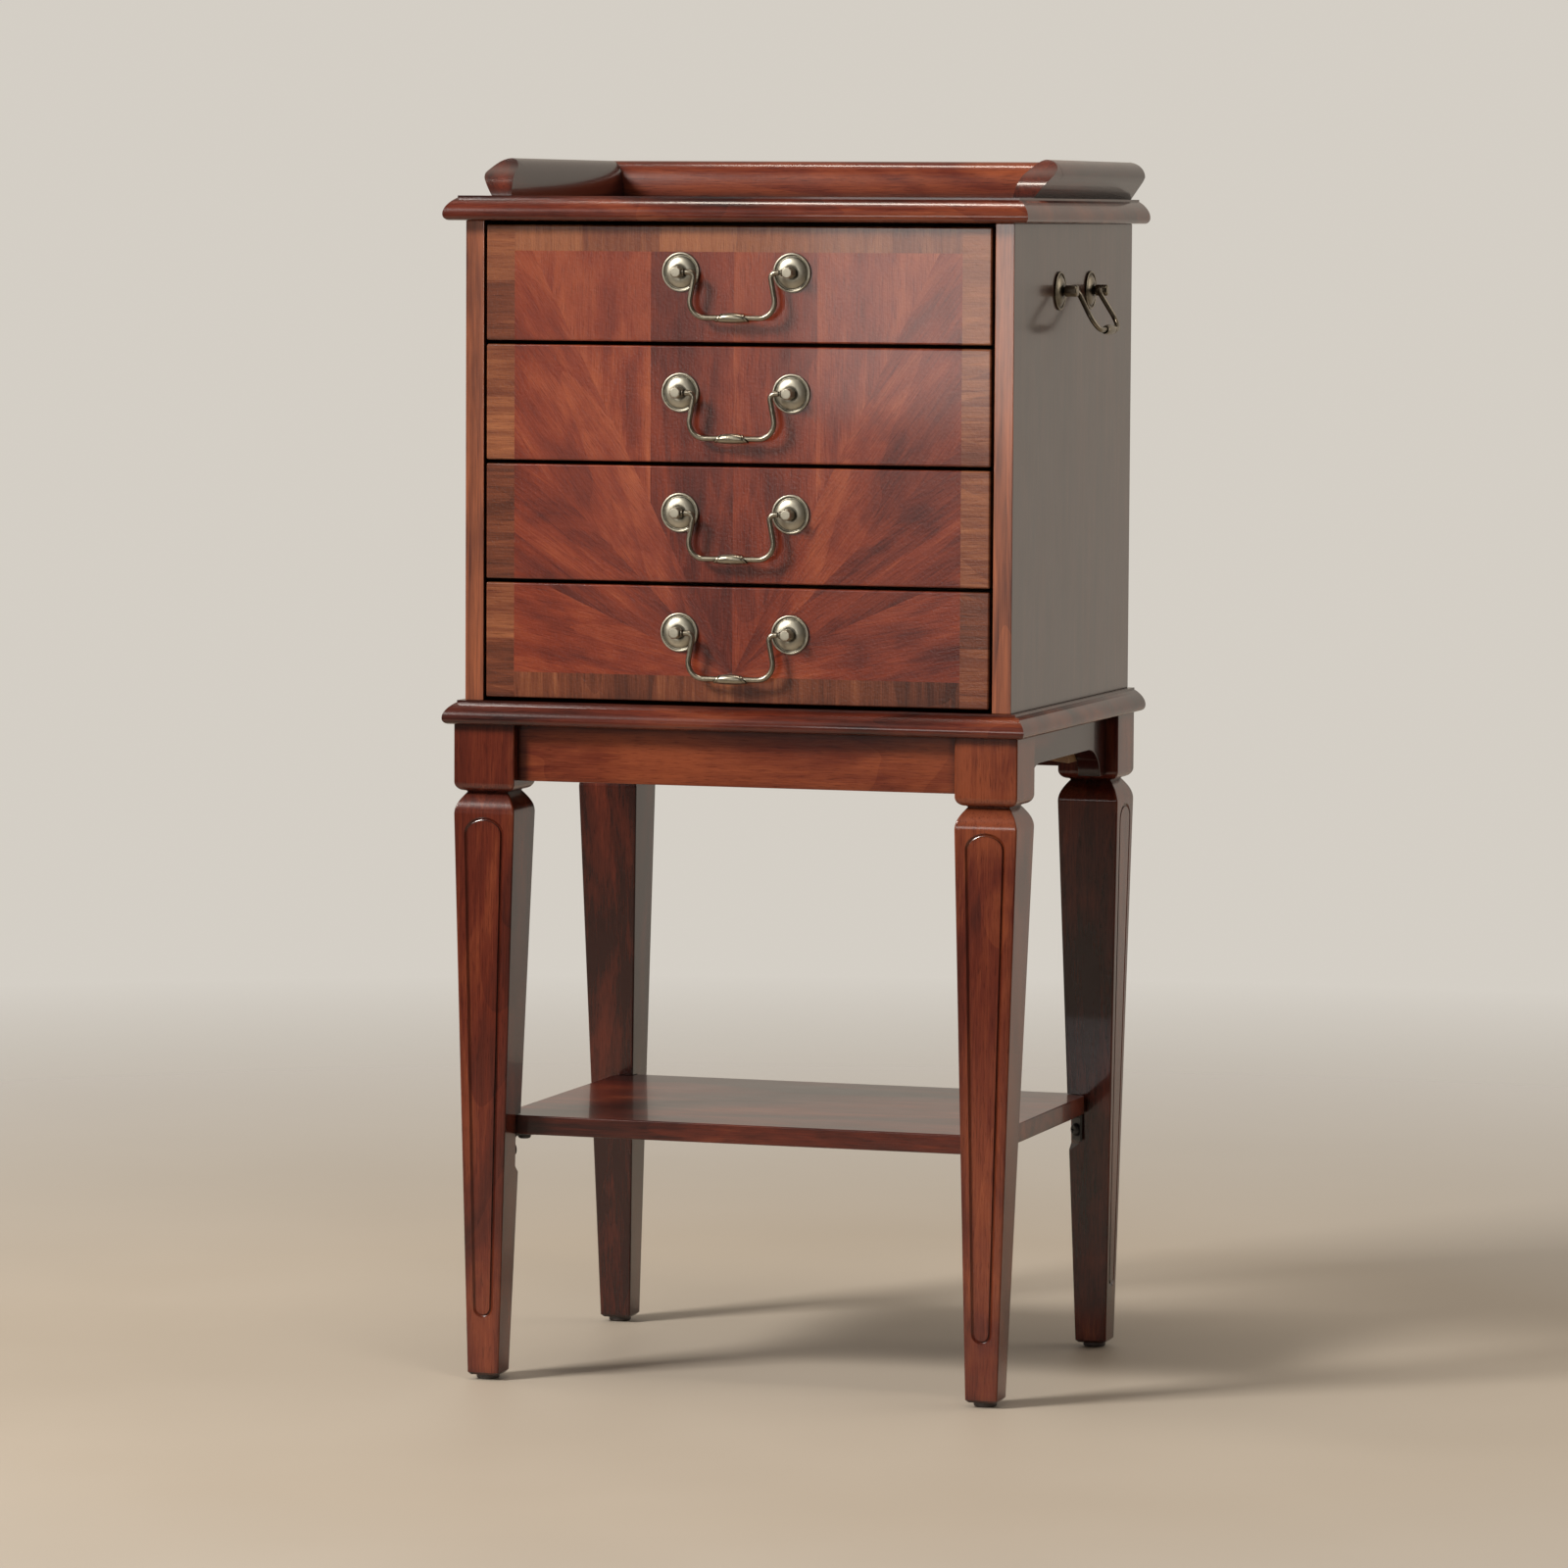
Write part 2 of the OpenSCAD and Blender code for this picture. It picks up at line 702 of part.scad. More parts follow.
module side_apron() {
    y0 = block_front + block_w;
    y1 = block_back - block_w;
    low = base_z - side_apron_h;
    run = 1.55*arch_rise;
    left = arc_points([y0 + arch_start + run, low], [run, arch_rise], 180, 90, curve_n);
    right = arc_points([y1 - arch_start - run, low], [run, arch_rise], 90, 0, curve_n);
    along_x(block_x - apron_set - apron_t, block_x - apron_set)
        polygon(concat([[y0, low]], left, right, [[y1, low], [y1, base_z], [y0, base_z]]));
}

module apron_right() {
    color(cherry) side_apron();
}

module apron_left() {
    color(cherry) mirror([1, 0, 0]) side_apron();
}

module corner_braces() {
    inner = apron_set + apron_t;
    reach = 2*block_w - inner;
    wide = brace_t*sqrt(2);
    color(box_wood) at_corners() translate([0, 0, base_z - brace_h]) linear_extrude(brace_h)
        polygon([[reach, inner], [reach + wide, inner], [inner, reach + wide], [inner, reach]]);
}

// ---------- shelf ----------

module shelf() {
    x = block_x - shelf_inset;
    y0 = block_front + shelf_inset;
    y1 = block_back - shelf_inset;
    clip = flat_sum + shelf_gap*sqrt(2) - 2*shelf_inset;
    color(cherry) translate([0, 0, shelf_low]) linear_extrude(shelf_t)
        polygon([[-x + clip, y0], [x - clip, y0], [x, y0 + clip], [x, y1 - clip],
                 [x - clip, y1], [-x + clip, y1], [-x, y1 - clip], [-x, y0 + clip]]);
}

// Puts a section drawn in (u, z), with u starting at the flat on the leg, across the diagonal
module on_flat(width) {
    rotate([0, 0, 45]) along_y(-width/2, width/2) translate([flat_sum/sqrt(2), 0]) children();
}

module shelf_brackets() {
    color(black) at_corners() on_flat(bracket_w)
        polygon([[0, shelf_low - bracket_arm], [bracket_t, shelf_low - bracket_arm],
                 [bracket_t, shelf_low - bracket_t], [bracket_arm, shelf_low - bracket_t],
                 [bracket_arm, shelf_low], [0, shelf_low]]);
}

module pan_screw(length) {
    head_r = 5.2;
    head_h = 3;
    rotate_extrude() polygon(concat([[0, -length], [1.8, -length], [1.8, 0], [head_r, 0]],
                                    arc_points([head_r - 2, 1], [2, head_h - 1], 0, 90, 6), [[0, head_h]]));
}

module bracket_screws() {
    along = bracket_arm*0.6;
    color(black) at_corners() rotate([0, 0, 45]) translate([flat_sum/sqrt(2), 0, shelf_low]) {
        translate([bracket_t, 0, -along]) rotate([0, 90, 0]) pan_screw(14);
        translate([along, 0, -bracket_t]) rotate([180, 0, 0]) pan_screw(12);
    }
}

module foot_glides() {
    color(black) at_corners() translate([block_w/2, foot_w/2, 0])
        rotate_extrude() polygon([[0, 0], [glide_r - 1, 0], [glide_r, 1], [glide_r, glide_h], [0, glide_h]]);
}

// ---------- the pieces ----------

top_panel();
rim_left();
rim_right();
rim_back();
side_panel_left();
side_panel_right();
back_panel();
base_panel();
drawer_runners();
leg_front_left();
leg_front_right();
leg_rear_left();
leg_rear_right();
apron_front();
apron_rear();
apron_left();
apron_right();
corner_braces();
shelf();
shelf_brackets();
bracket_screws();
foot_glides();
handle_rosettes();
handle_posts();
handle_bail(-1);  // handle_bail_left
handle_bail(1);  // handle_bail_right
top_drawer_divider();
ring_rolls();
for (k = [1:drawer_count]) {
    drawer_front(k);
    drawer_sides(k);
    drawer_back(k);
    drawer_bottom(k);
    drawer_lining(k);
    drawer_rosettes(k);
    drawer_posts(k);
    drawer_bail(k);
}
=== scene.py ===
"""A jewelry armoire: a lacquered cherry case of four veneered drawers with bail pulls, on an open stand."""
import json
import math

import bmesh
import bpy
from mathutils import Matrix, Vector

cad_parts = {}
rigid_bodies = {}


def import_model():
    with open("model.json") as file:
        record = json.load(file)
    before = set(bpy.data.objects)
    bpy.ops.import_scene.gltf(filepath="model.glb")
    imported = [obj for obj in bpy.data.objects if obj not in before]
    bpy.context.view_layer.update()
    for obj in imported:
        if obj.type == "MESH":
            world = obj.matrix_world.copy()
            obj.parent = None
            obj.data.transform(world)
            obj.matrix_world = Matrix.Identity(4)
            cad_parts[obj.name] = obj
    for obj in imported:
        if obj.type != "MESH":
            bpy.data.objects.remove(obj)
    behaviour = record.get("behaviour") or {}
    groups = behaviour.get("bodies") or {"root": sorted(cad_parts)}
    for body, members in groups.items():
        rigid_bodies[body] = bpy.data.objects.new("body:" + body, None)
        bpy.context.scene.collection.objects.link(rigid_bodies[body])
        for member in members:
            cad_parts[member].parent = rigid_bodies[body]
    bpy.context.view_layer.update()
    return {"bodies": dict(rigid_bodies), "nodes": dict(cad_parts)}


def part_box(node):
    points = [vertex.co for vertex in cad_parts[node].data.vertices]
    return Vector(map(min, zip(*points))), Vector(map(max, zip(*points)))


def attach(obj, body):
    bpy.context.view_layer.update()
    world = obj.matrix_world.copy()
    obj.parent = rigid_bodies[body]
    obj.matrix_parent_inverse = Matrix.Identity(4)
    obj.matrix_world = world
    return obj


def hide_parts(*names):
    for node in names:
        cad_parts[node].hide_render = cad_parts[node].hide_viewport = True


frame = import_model()

MM = 0.001
nodes = frame["nodes"]
FLOOR_RADIUS = 7.0
HANDS = ((-1, "left"), (1, "right"))
DRAWERS = sorted(name for name in frame["bodies"] if name.startswith("drawer_"))


# ---------- camera, floor and light ----------

def rotation(degrees, axis):
    return Matrix.Rotation(math.radians(degrees), 4, axis)


def set_camera():
    data = bpy.data.cameras.new("camera")
    data.lens = 166.9
    data.sensor_width = 36
    data.shift_y = 0.0474
    data.clip_end = 200
    camera = bpy.data.objects.new("camera", data)
    camera.matrix_world = (Matrix.Translation((1.7152, -5.4348, 0.9027))
                           @ rotation(17.63, "Z") @ rotation(90 - 5.04, "X") @ rotation(0.32, "Z"))
    bpy.context.scene.collection.objects.link(camera)
    bpy.context.scene.camera = camera


def softbox(name, place, size, power, target=(0, 0, 0.5), colour=(1, 1, 1)):
    data = bpy.data.lights.new(name, "AREA")
    data.shape = "RECTANGLE"
    data.size, data.size_y = size
    data.energy = power
    data.color = colour
    lamp = bpy.data.objects.new(name, data)
    lamp.location = place
    lamp.rotation_euler = (Vector(target) - Vector(place)).to_track_quat("-Z", "Y").to_euler()
    bpy.context.scene.collection.objects.link(lamp)


def set_world(scene):
    """A pale room: dim in front of the piece, brighter behind and beside it, and even where it is seen."""
    world = bpy.data.worlds.new("studio")
    world.use_nodes = True
    tree = world.node_tree
    seen = tree.nodes["Background"]
    seen.inputs["Color"].default_value = (0.66, 0.62, 0.56, 1)
    room = tree.nodes.new("ShaderNodeBackground")
    room.inputs["Color"].default_value = (0.97, 0.86, 0.73, 1)
    split = tree.nodes.new("ShaderNodeSeparateXYZ")
    fade = tree.nodes.new("ShaderNodeMapRange")
    fade.inputs["From Min"].default_value = -0.6
    fade.inputs["From Max"].default_value = 0.8
    fade.inputs["To Min"].default_value = 0.07
    fade.inputs["To Max"].default_value = 0.50
    mix = tree.nodes.new("ShaderNodeMixShader")
    links = tree.links
    links.new(tree.nodes.new("ShaderNodeTexCoord").outputs["Generated"], split.inputs[0])
    links.new(split.outputs["Y"], fade.inputs["Value"])
    links.new(fade.outputs["Result"], room.inputs["Strength"])
    links.new(tree.nodes.new("ShaderNodeLightPath").outputs["Is Camera Ray"], mix.inputs[0])
    links.new(room.outputs[0], mix.inputs[1])
    links.new(seen.outputs[0], mix.inputs[2])
    links.new(mix.outputs[0], tree.nodes["World Output"].inputs["Surface"])
    scene.world = world


def set_studio():
    scene = bpy.context.scene
    scene.view_settings.view_transform = "Standard"
    set_world(scene)
    softbox("key_light", (-2.7, -2.9, 3.2), (1.1, 1.1), 250, colour=(1, 0.96, 0.90))
    softbox("sheen_card", (-0.55, -3.9, 0.95), (1.1, 0.6), 13, target=(0, 0, 0.8), colour=(1, 0.96, 0.91))
    softbox("left_card", (-3.4, -2.6, 1.5), (0.9, 1.4), 12, target=(0, 0, 0.6), colour=(1, 0.95, 0.88))
    softbox("top_strip", (-0.2, -0.35, 3.6), (1.8, 0.22), 38, colour=(1, 0.91, 0.80))
    softbox("right_card", (3.2, 1.6, 1.9), (2.2, 2.2), 24, colour=(1, 0.93, 0.84))
    bm = bmesh.new()
    bmesh.ops.create_circle(bm, cap_ends=True, segments=96, radius=FLOOR_RADIUS)
    mesh = bpy.data.meshes.new("floor")
    bm.to_mesh(mesh)
    bm.free()
    floor = bpy.data.objects.new("floor", mesh)
    scene.collection.objects.link(floor)
    mesh.materials.append(floor_paint())


# ---------- shader tools ----------

class Sock:
    """The output of a shader node. Arithmetic on it adds Math nodes."""

    def __init__(self, finish, socket):
        self.finish = finish
        self.socket = socket

    def maths(self, operation, *values):
        return self.finish.node("Math", dict(enumerate(values)), operation=operation)

    def __add__(self, other):
        return self.maths("ADD", self, other)

    def __radd__(self, other):
        return self.maths("ADD", other, self)

    def __sub__(self, other):
        return self.maths("SUBTRACT", self, other)

    def __rsub__(self, other):
        return self.maths("SUBTRACT", other, self)

    def __mul__(self, other):
        return self.maths("MULTIPLY", self, other)

    def __rmul__(self, other):
        return self.maths("MULTIPLY", other, self)

    def __truediv__(self, other):
        return self.maths("DIVIDE", self, other)

    def __gt__(self, other):
        return self.maths("GREATER_THAN", self, other)

    def __lt__(self, other):
        return self.maths("LESS_THAN", self, other)

    def __abs__(self):
        return self.maths("ABSOLUTE", self)

    def floor(self):
        return self.maths("FLOOR", self)

    def fraction(self):
        return self.maths("FRACT", self)


class Finish:
    """A material with a Principled shader, and the tools to draw its pattern."""

    def __init__(self, name, **uniform):
        self.material = bpy.data.materials.new(name)
        self.material.use_nodes = True
        self.tree = self.material.node_tree
        self.shader = self.tree.nodes["Principled BSDF"]
        for key, value in uniform.items():
            self.shader.inputs[key.replace("_", " ")].default_value = value

    def node(self, kind, inputs=None, out=0, stops=None, **settings):
        node = self.tree.nodes.new("ShaderNode" + kind)
        for key, value in settings.items():
            setattr(node, key, value)
        if stops:
            ramp = node.color_ramp
            while len(ramp.elements) < len(stops):
                ramp.elements.new(1)
            for element, (position, colour) in zip(ramp.elements, stops):
                element.position = position
                element.color = (*colour, 1)
        for key, value in (inputs or {}).items():
            self.plug(value, node.inputs[key])
        return Sock(self, node.outputs[out])

    def plug(self, value, socket):
        if isinstance(value, Sock):
            self.tree.links.new(value.socket, socket)
        else:
            socket.default_value = value

    def feed(self, **links):
        for key, value in links.items():
            self.plug(value, self.shader.inputs[key.replace("_", " ")])
        return self.material

    def place(self):
        return self.node("TexCoord", out="Object")

    def stretched(self, vector, scale, turn=(0, 0, 0)):
        return self.node("Mapping", {"Vector": vector, "Scale": scale, "Rotation": turn})

    def split(self, vector):
        return [self.node("SeparateXYZ", {0: vector}, out) for out in range(3)]

    def join(self, x, y, z):
        return self.node("CombineXYZ", {0: x, 1: y, 2: z})

    def noise(self, vector, scale, detail=4.0, roughness=0.55, distortion=0.0):
        return self.node("TexNoise", {"Vector": vector, "Scale": scale, "Detail": detail,
                                      "Roughness": roughness, "Distortion": distortion})

    def ramp(self, factor, stops):
        return self.node("ValToRGB", {0: factor}, stops=stops)

    def mix(self, factor, a, b, blend="MIX"):
        return self.node("Mix", {0: factor, 6: a, 7: b}, 2, data_type="RGBA", blend_type=blend)

    def mix_vectors(self, factor, a, b):
        return self.node("Mix", {0: factor, 4: a, 5: b}, 1, data_type="VECTOR")

    def graded(self, value, low, high, start, end):
        """From start, where value is low, to end, where it is high."""
        return self.node("MapRange", {"Value": value, "From Min": low, "From Max": high,
                                      "To Min": start, "To Max": end})

    def bump(self, height, depth):
        return self.node("Bump", {"Height": height, "Distance": depth, "Strength": 1.0})


# ---------- finishes ----------

DARK_CHERRY = (0.026, 0.0055, 0.0042)
RED_CHERRY = (0.110, 0.0180, 0.0085)
LIGHT_CHERRY = (0.240, 0.0560, 0.0210)
FIELD_COLOURS = ((0.05, (0.034, 0.0070, 0.0048)), (0.34, (0.104, 0.0160, 0.0085)),
                 (0.60, (0.205, 0.0330, 0.0135)), (0.98, (0.370, 0.0880, 0.0330)))
BAND_COLOURS = ((0.10, (0.052, 0.015, 0.0085)), (0.48, (0.165, 0.045, 0.0200)),
                (0.92, (0.370, 0.132, 0.0530)))


def wood_figure(finish, grain, cloud=0.62, line=0.42):
    """Figure of a wood whose grain runs along the third axis of grain: 0 dark to 1 light, and the pores."""
    broad = finish.noise(finish.stretched(grain, (16, 16, 4)), 1.0, 4, 0.55, 1.1)
    lines = finish.noise(finish.stretched(grain, (170, 170, 7)), 1.0, 5, 0.6, 0.4)
    rings = (finish.noise(finish.stretched(grain, (9, 9, 1.6)), 1.0, 1, 0.4, 0.5) * 11).fraction()
    fibre = finish.noise(finish.stretched(grain, (800, 800, 26)), 1.0, 3, 0.6)
    pores = finish.noise(finish.stretched(grain, (1400, 1400, 70)), 1.0, 2, 0.6)
    contrast = (broad - 0.5) * 1.35 * cloud + (lines - 0.5) * 1.1 * line + (rings - 0.5) * 0.10
    contrast = contrast + (fibre - 0.5) * 0.42
    return contrast + 0.5, pores


def lacquered(finish, colour, pores, roughness, depth=0.05 * MM, **more):
    """Clear lacquer over wood: gloss that varies a little, and pores that show through it."""
    place = finish.place()
    uneven = finish.noise(place, 430, 3)
    height = pores * 0.6 + uneven
    return finish.feed(Base_Color=colour, Roughness=roughness + 0.07 * finish.noise(place, 24, 3),
                       Normal=finish.bump(height, depth), **more)


def glazed_and_shaded(finish, colour, strength=1.0):
    """Antique look: painted shade darkening the grooves and corners, and a dark glaze rubbed along the
    edges.
    """
    # Painted shade: ambient occlusion darkens grooves, hollows and the corners under mouldings, where shade
    # falls.
    painted_recess_shade = finish.node("AmbientOcclusion", {"Distance": 10 * MM}, "AO", samples=6)
    edge = finish.node("AmbientOcclusion", {"Distance": 7 * MM}, "AO", samples=6, inside=True,
                       only_local=True)
    patchy = 0.7 + 0.6 * finish.noise(finish.place(), 30, 3)
    # Mixes the painted shade of the recesses with the real dark glaze along the edges.
    glaze_and_shade = ((1 - painted_recess_shade) * 1.1 + (1 - edge) * 0.55) * patchy * strength
    return finish.mix(glaze_and_shade.maths("MINIMUM", glaze_and_shade, 0.9), colour, (0.014, 0.0045, 0.0035, 1))


def cherry(name, turn, tone=0.0, roughness=0.20):
    """Cherry with its grain turned from upright by turn."""
    finish = Finish(name, Specular_IOR_Level=0.30, Coat_Weight=0.38, Coat_Roughness=0.05)
    value, pores = wood_figure(finish, finish.stretched(finish.place(), (1, 1, 1), turn), 1.15, 0.36)
    x, y, z = finish.split(finish.place())
    # Painted shade: darker towards the rear (+y), where the case above shades the rear legs.
    painted_shade_behind = finish.graded(y, -0.08, 0.12, 0.0, 0.20)
    # Painted light: lighter higher up, on the blocks and aprons, where more of the light from above falls.
    painted_light_above = finish.graded(z, 0.3, 0.5, 0.0, 0.13)
    # Painted light: 0.40 * x lightens the right-hand parts, which the light reaches more.
    shade = value + tone + 0.40 * x + painted_light_above - painted_shade_behind
    colour = finish.ramp(shade, [(0.18, DARK_CHERRY), (0.52, RED_CHERRY), (0.86, LIGHT_CHERRY)])
    dark_pores = finish.ramp(pores, [(0.34, (0.50, 0.42, 0.42)), (0.45, (1, 1, 1))])
    colour = finish.mix(0.8, colour, dark_pores, "MULTIPLY")
    return lacquered(finish, glazed_and_shaded(finish, colour), pores, roughness)


def drawer_veneer():
    """Rays of matched veneer spread from the foot of the fronts; a cross-banded border frames all four."""
    finish = Finish("drawer_veneer", Specular_IOR_Level=0.42, Coat_Weight=0.35, Coat_Roughness=0.08)
    x, _, z = finish.split(finish.place())
    first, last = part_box("drawer_1_front"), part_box("drawer_4_front")
    seam, side_band, end_band, flank_at = -2 * MM, 23 * MM, 20 * MM, 66.6 * MM
    from_seam = x - seam
    out = abs(from_seam)
    up = z - (last[0].z + end_band)
    angle = out.maths("ARCTAN2", out, up) * (180 / math.pi)
    right = from_seam > 0
    flank = (out > flank_at) * (angle < 26.7)
    ray_1, ray_2, ray_3 = angle > 26.7, angle > 45, angle > 66
    lean = (ray_1 * 36 + ray_2 * 20 + ray_3 * 22) * (math.pi / 180)
    sine, cosine = lean.maths("SINE", lean), lean.maths("COSINE", lean)
    leaf = flank + ray_1 * 2 + ray_2 + ray_3
    field = finish.join(out * cosine - up * sine, leaf * 0.31 + right * 0.006, out * sine + up * cosine)
    middle = (1 - flank) * (1 - ray_1)
    # Lightness of each leaf, left and right: partly the leaves' own tone, partly painted sheen, with the
    # figure's chatoyance painted as lighter and darker leaves.
    tone = (flank * 0.06 + ray_1 * 0.02 - ray_2 * 0.07 + ray_3 * 0.05
            - middle * 0.13 + right * middle * 0.15 - right * flank * 0.02 - right * ray_1 * 0.03)
    at_side = abs(x) > first[1].x - side_band
    at_end = (z > first[1].z - end_band) + (z < last[0].z + end_band)
    side_leaf, end_leaf = ((z + 17 * MM) / (45.8 * MM)).floor(), (x / (62 * MM)).floor()
    grain = finish.mix_vectors(at_end, field, finish.join(x, end_leaf * 0.7, z))
    grain = finish.mix_vectors(at_side, grain, finish.join(z, side_leaf * 0.7, x))
    band = at_side.maths("MAXIMUM", at_side, at_end)
    band_leaf = finish.join(side_leaf * at_side, end_leaf * (1 - at_side), 3)
    leaf_tone = finish.node("TexWhiteNoise", {"Vector": band_leaf})
    value, pores = wood_figure(finish, grain, 1.15 - 0.85 * band, 0.13 + 0.60 * band)
    patches = finish.noise(finish.stretched(grain, (34, 34, 11)), 1.0, 3, 0.6, 1.6)
    value = value + (patches - 0.5) * 0.60 * (1 - band)
    calm = finish.graded(z, 0.78, 0.86, 1.0, 0.55)
    # Painted light: (z - 0.70) * 0.55 makes the upper drawers lighter, where more of the light from above
    # falls.
    value = (value - 0.5) * calm + 0.57 + (z - 0.70) * 0.55
    field_colour = finish.ramp(value + tone, FIELD_COLOURS)
    band_colour = finish.ramp((value - 0.5) * 1.25 + 0.25 + leaf_tone * 0.34, BAND_COLOURS)
    dark_pores = finish.ramp(pores, [(0.34, (0.6, 0.52, 0.5)), (0.45, (1, 1, 1))])
    colour = finish.mix(0.8, finish.mix(band, field_colour, band_colour), dark_pores, "MULTIPLY")
    return lacquered(finish, glazed_and_shaded(finish, colour, 0.45), pores, 0.22, 0.13 * MM)


def plain_wood(name, dark, light, turn, roughness=0.45):
    finish = Finish(name)
    grain = finish.stretched(finish.place(), (1, 1, 1), turn)
    value, pores = wood_figure(finish, grain)
    colour = finish.ramp(value, [(0.2, dark), (0.8, light)])
    return lacquered(finish, colour, pores, roughness, 0.06 * MM)


def pewter(name, bright, dark, level, roughness=0.36):
    """Antique pewter: bright where it is rubbed, dark in the recesses."""
    finish = Finish(name, Metallic=1.0)
    place = finish.place()
    open_sky = finish.node("AmbientOcclusion", {"Distance": 5 * MM}, "AO", samples=8)
    worn = open_sky * 0.75 + finish.noise(place, 420, 4) * 0.35 + level
    colour = finish.ramp(worn, [(0.45, dark), (0.86, bright)])
    return finish.feed(Base_Color=colour, Roughness=roughness + 0.10 * finish.noise(place, 900, 3),
                       Normal=finish.bump(finish.noise(place, 1400, 3), 0.04 * MM))


def black_steel():
    finish = Finish("black_steel", Metallic=0.0)
    place = finish.place()
    colour = finish.ramp(finish.noise(place, 300, 4), [(0.3, (0.010, 0.010, 0.011)),
                                                       (0.7, (0.030, 0.030, 0.032))])
    return finish.feed(Base_Color=colour, Roughness=0.34 + 0.15 * finish.noise(place, 500, 3),
                       Normal=finish.bump(finish.noise(place, 2400, 2), 0.04 * MM))


def felt():
    """Wine red felt: short fibres every way, a soft sheen and slightly uneven pile."""
    finish = Finish("felt", Sheen_Weight=0.5, Sheen_Roughness=0.45, Sheen_Tint=(0.8, 0.35, 0.4, 1))
    place = finish.place()
    fibre = finish.noise(place, 2600, 6, 0.75, 1.2)
    patch = finish.noise(place, 60, 3)
    colour = finish.ramp(fibre * 0.6 + patch * 0.4, [(0.3, (0.040, 0.004, 0.009)),
                                                     (0.7, (0.135, 0.013, 0.028))])
    return finish.feed(Base_Color=colour, Roughness=0.85 + 0.1 * fibre, Normal=finish.bump(fibre, 0.3 * MM))


def glide_plastic():
    finish = Finish("glide_plastic")
    place = finish.place()
    colour = finish.ramp(finish.noise(place, 500, 4), [(0.3, (0.028, 0.020, 0.018)),
                                                       (0.7, (0.055, 0.042, 0.038))])
    return finish.feed(Base_Color=colour, Roughness=0.42 + 0.1 * finish.noise(place, 900, 3),
                       Normal=finish.bump(finish.noise(place, 3000, 2), 0.03 * MM))


def floor_paint():
    """Plain pale floor that fades into the room far from the piece."""
    finish = Finish("floor_paint")
    place = finish.place()
    colour = finish.ramp(finish.noise(place, 1.5, 3), [(0.3, (0.42, 0.36, 0.29)), (0.7, (0.46, 0.40, 0.33))])
    x, y, _ = finish.split(place)
    square = x * x + y * y
    away = square.maths("POWER", square, 0.5) / FLOOR_RADIUS
    return finish.feed(Base_Color=colour, Roughness=0.5 + 0.1 * finish.noise(place, 6, 2),
                       Alpha=finish.graded(away, 0.10, 0.42, 1.0, 0.0))


# ---------- shape tools ----------

def arc(centre, radius, start, end, steps):
    """Points of an arc in a plane, with radius as one number for each of its two directions."""
    angles = [math.radians(start + (end - start) * i / steps) for i in range(steps + 1)]
    return [(centre[0] + radius[0] * math.cos(a), centre[1] + radius[1] * math.sin(a)) for a in angles]


def bezier(p0, p1, p2, p3, steps):
    """Points of a curve from p0 to p3 with the handles p1 and p2."""
    points = []
    for i in range(steps + 1):
        t = i / steps
        s = 1 - t
        points.append(tuple(s**3 * a + 3 * s * s * t * b + 3 * s * t * t * c + t**3 * d
                            for a, b, c, d in zip(p0, p1, p2, p3)))
    return points


def drawn_up(rings):
    """A solid drawn from the first outline to the last, point to point."""
    bm = bmesh.new()
    loops = [[bm.verts.new(p) for p in ring] for ring in rings]
    for here, there in zip(loops, loops[1:]):
        for a, b, c, d in zip(here, here[1:] + here[:1], there[1:] + there[:1], there):
            bm.faces.new((a, b, c, d))
    bm.faces.new(loops[0][::-1])
    bm.faces.new(loops[-1])
    return bm


def prism(points, offset):
    """A solid drawn out from a flat outline."""
    bm = bmesh.new()
    outline = bm.faces.new([bm.verts.new(p) for p in points])
    made = bmesh.ops.extrude_face_region(bm, geom=[outline])["geom"]
    bmesh.ops.translate(bm, verts=[v for v in made if isinstance(v, bmesh.types.BMVert)], vec=offset)
    return bm


def ease(bm, edges, width, segments=2):
    """Rounds edges over by width."""
    bmesh.ops.bevel(bm, geom=list(edges), offset=width, offset_type="OFFSET", affect="EDGES",
                    segments=segments, profile=0.5, material=-1, clamp_overlap=True)


def block(low, high, width=0.8 * MM, segments=2):
    """A block from its lowest to its highest corner, with eased edges."""
    low, high = Vector(low), Vector(high)
    bm = bmesh.new()
    bmesh.ops.create_cube(bm, size=1)
    bmesh.ops.scale(bm, vec=high - low, verts=bm.verts)
    bmesh.ops.translate(bm, vec=(low + high) / 2, verts=bm.verts)
    if width:
        ease(bm, bm.edges, width, segments)
    return bm


def turned(profile, axis, steps):
    """A turned piece on axis Z or -Y: profile is (radius, distance along the axis)."""
    bm = bmesh.new()
    verts = [bm.verts.new((r, 0, h)) for r, h in profile]
    edges = [bm.edges.new(pair) for pair in zip(verts, verts[1:])]
    bmesh.ops.spin(bm, geom=verts + edges, axis=(0, 0, 1), cent=(0, 0, 0), angle=math.tau, steps=steps,
                   use_merge=True)
    bmesh.ops.remove_doubles(bm, verts=bm.verts, dist=1e-6)
    if axis == "-Y":
        bmesh.ops.rotate(bm, verts=bm.verts, cent=(0, 0, 0), matrix=rotation(90, "X"))
    return bm


def moved(bm, matrix):
    bmesh.ops.transform(bm, matrix=matrix, verts=bm.verts)
    return bm


def merged(*parts):
    """All parts as one bmesh."""
    whole = bmesh.new()
    for part in parts:
        mesh = bpy.data.meshes.new("part")
        part.to_mesh(mesh)
        part.free()
        whole.from_mesh(mesh)
        bpy.data.meshes.remove(mesh)
    return whole


def make_object(name, bm):
    bmesh.ops.remove_doubles(bm, verts=bm.verts, dist=1e-6)
    bmesh.ops.dissolve_degenerate(bm, edges=bm.edges, dist=1e-7)
    bmesh.ops.recalc_face_normals(bm, faces=bm.faces)
    mesh = bpy.data.meshes.new(name)
    bm.to_mesh(mesh)
    bm.free()
    made = bpy.data.objects.new(name, mesh)
    bpy.context.scene.collection.objects.link(made)
    return made


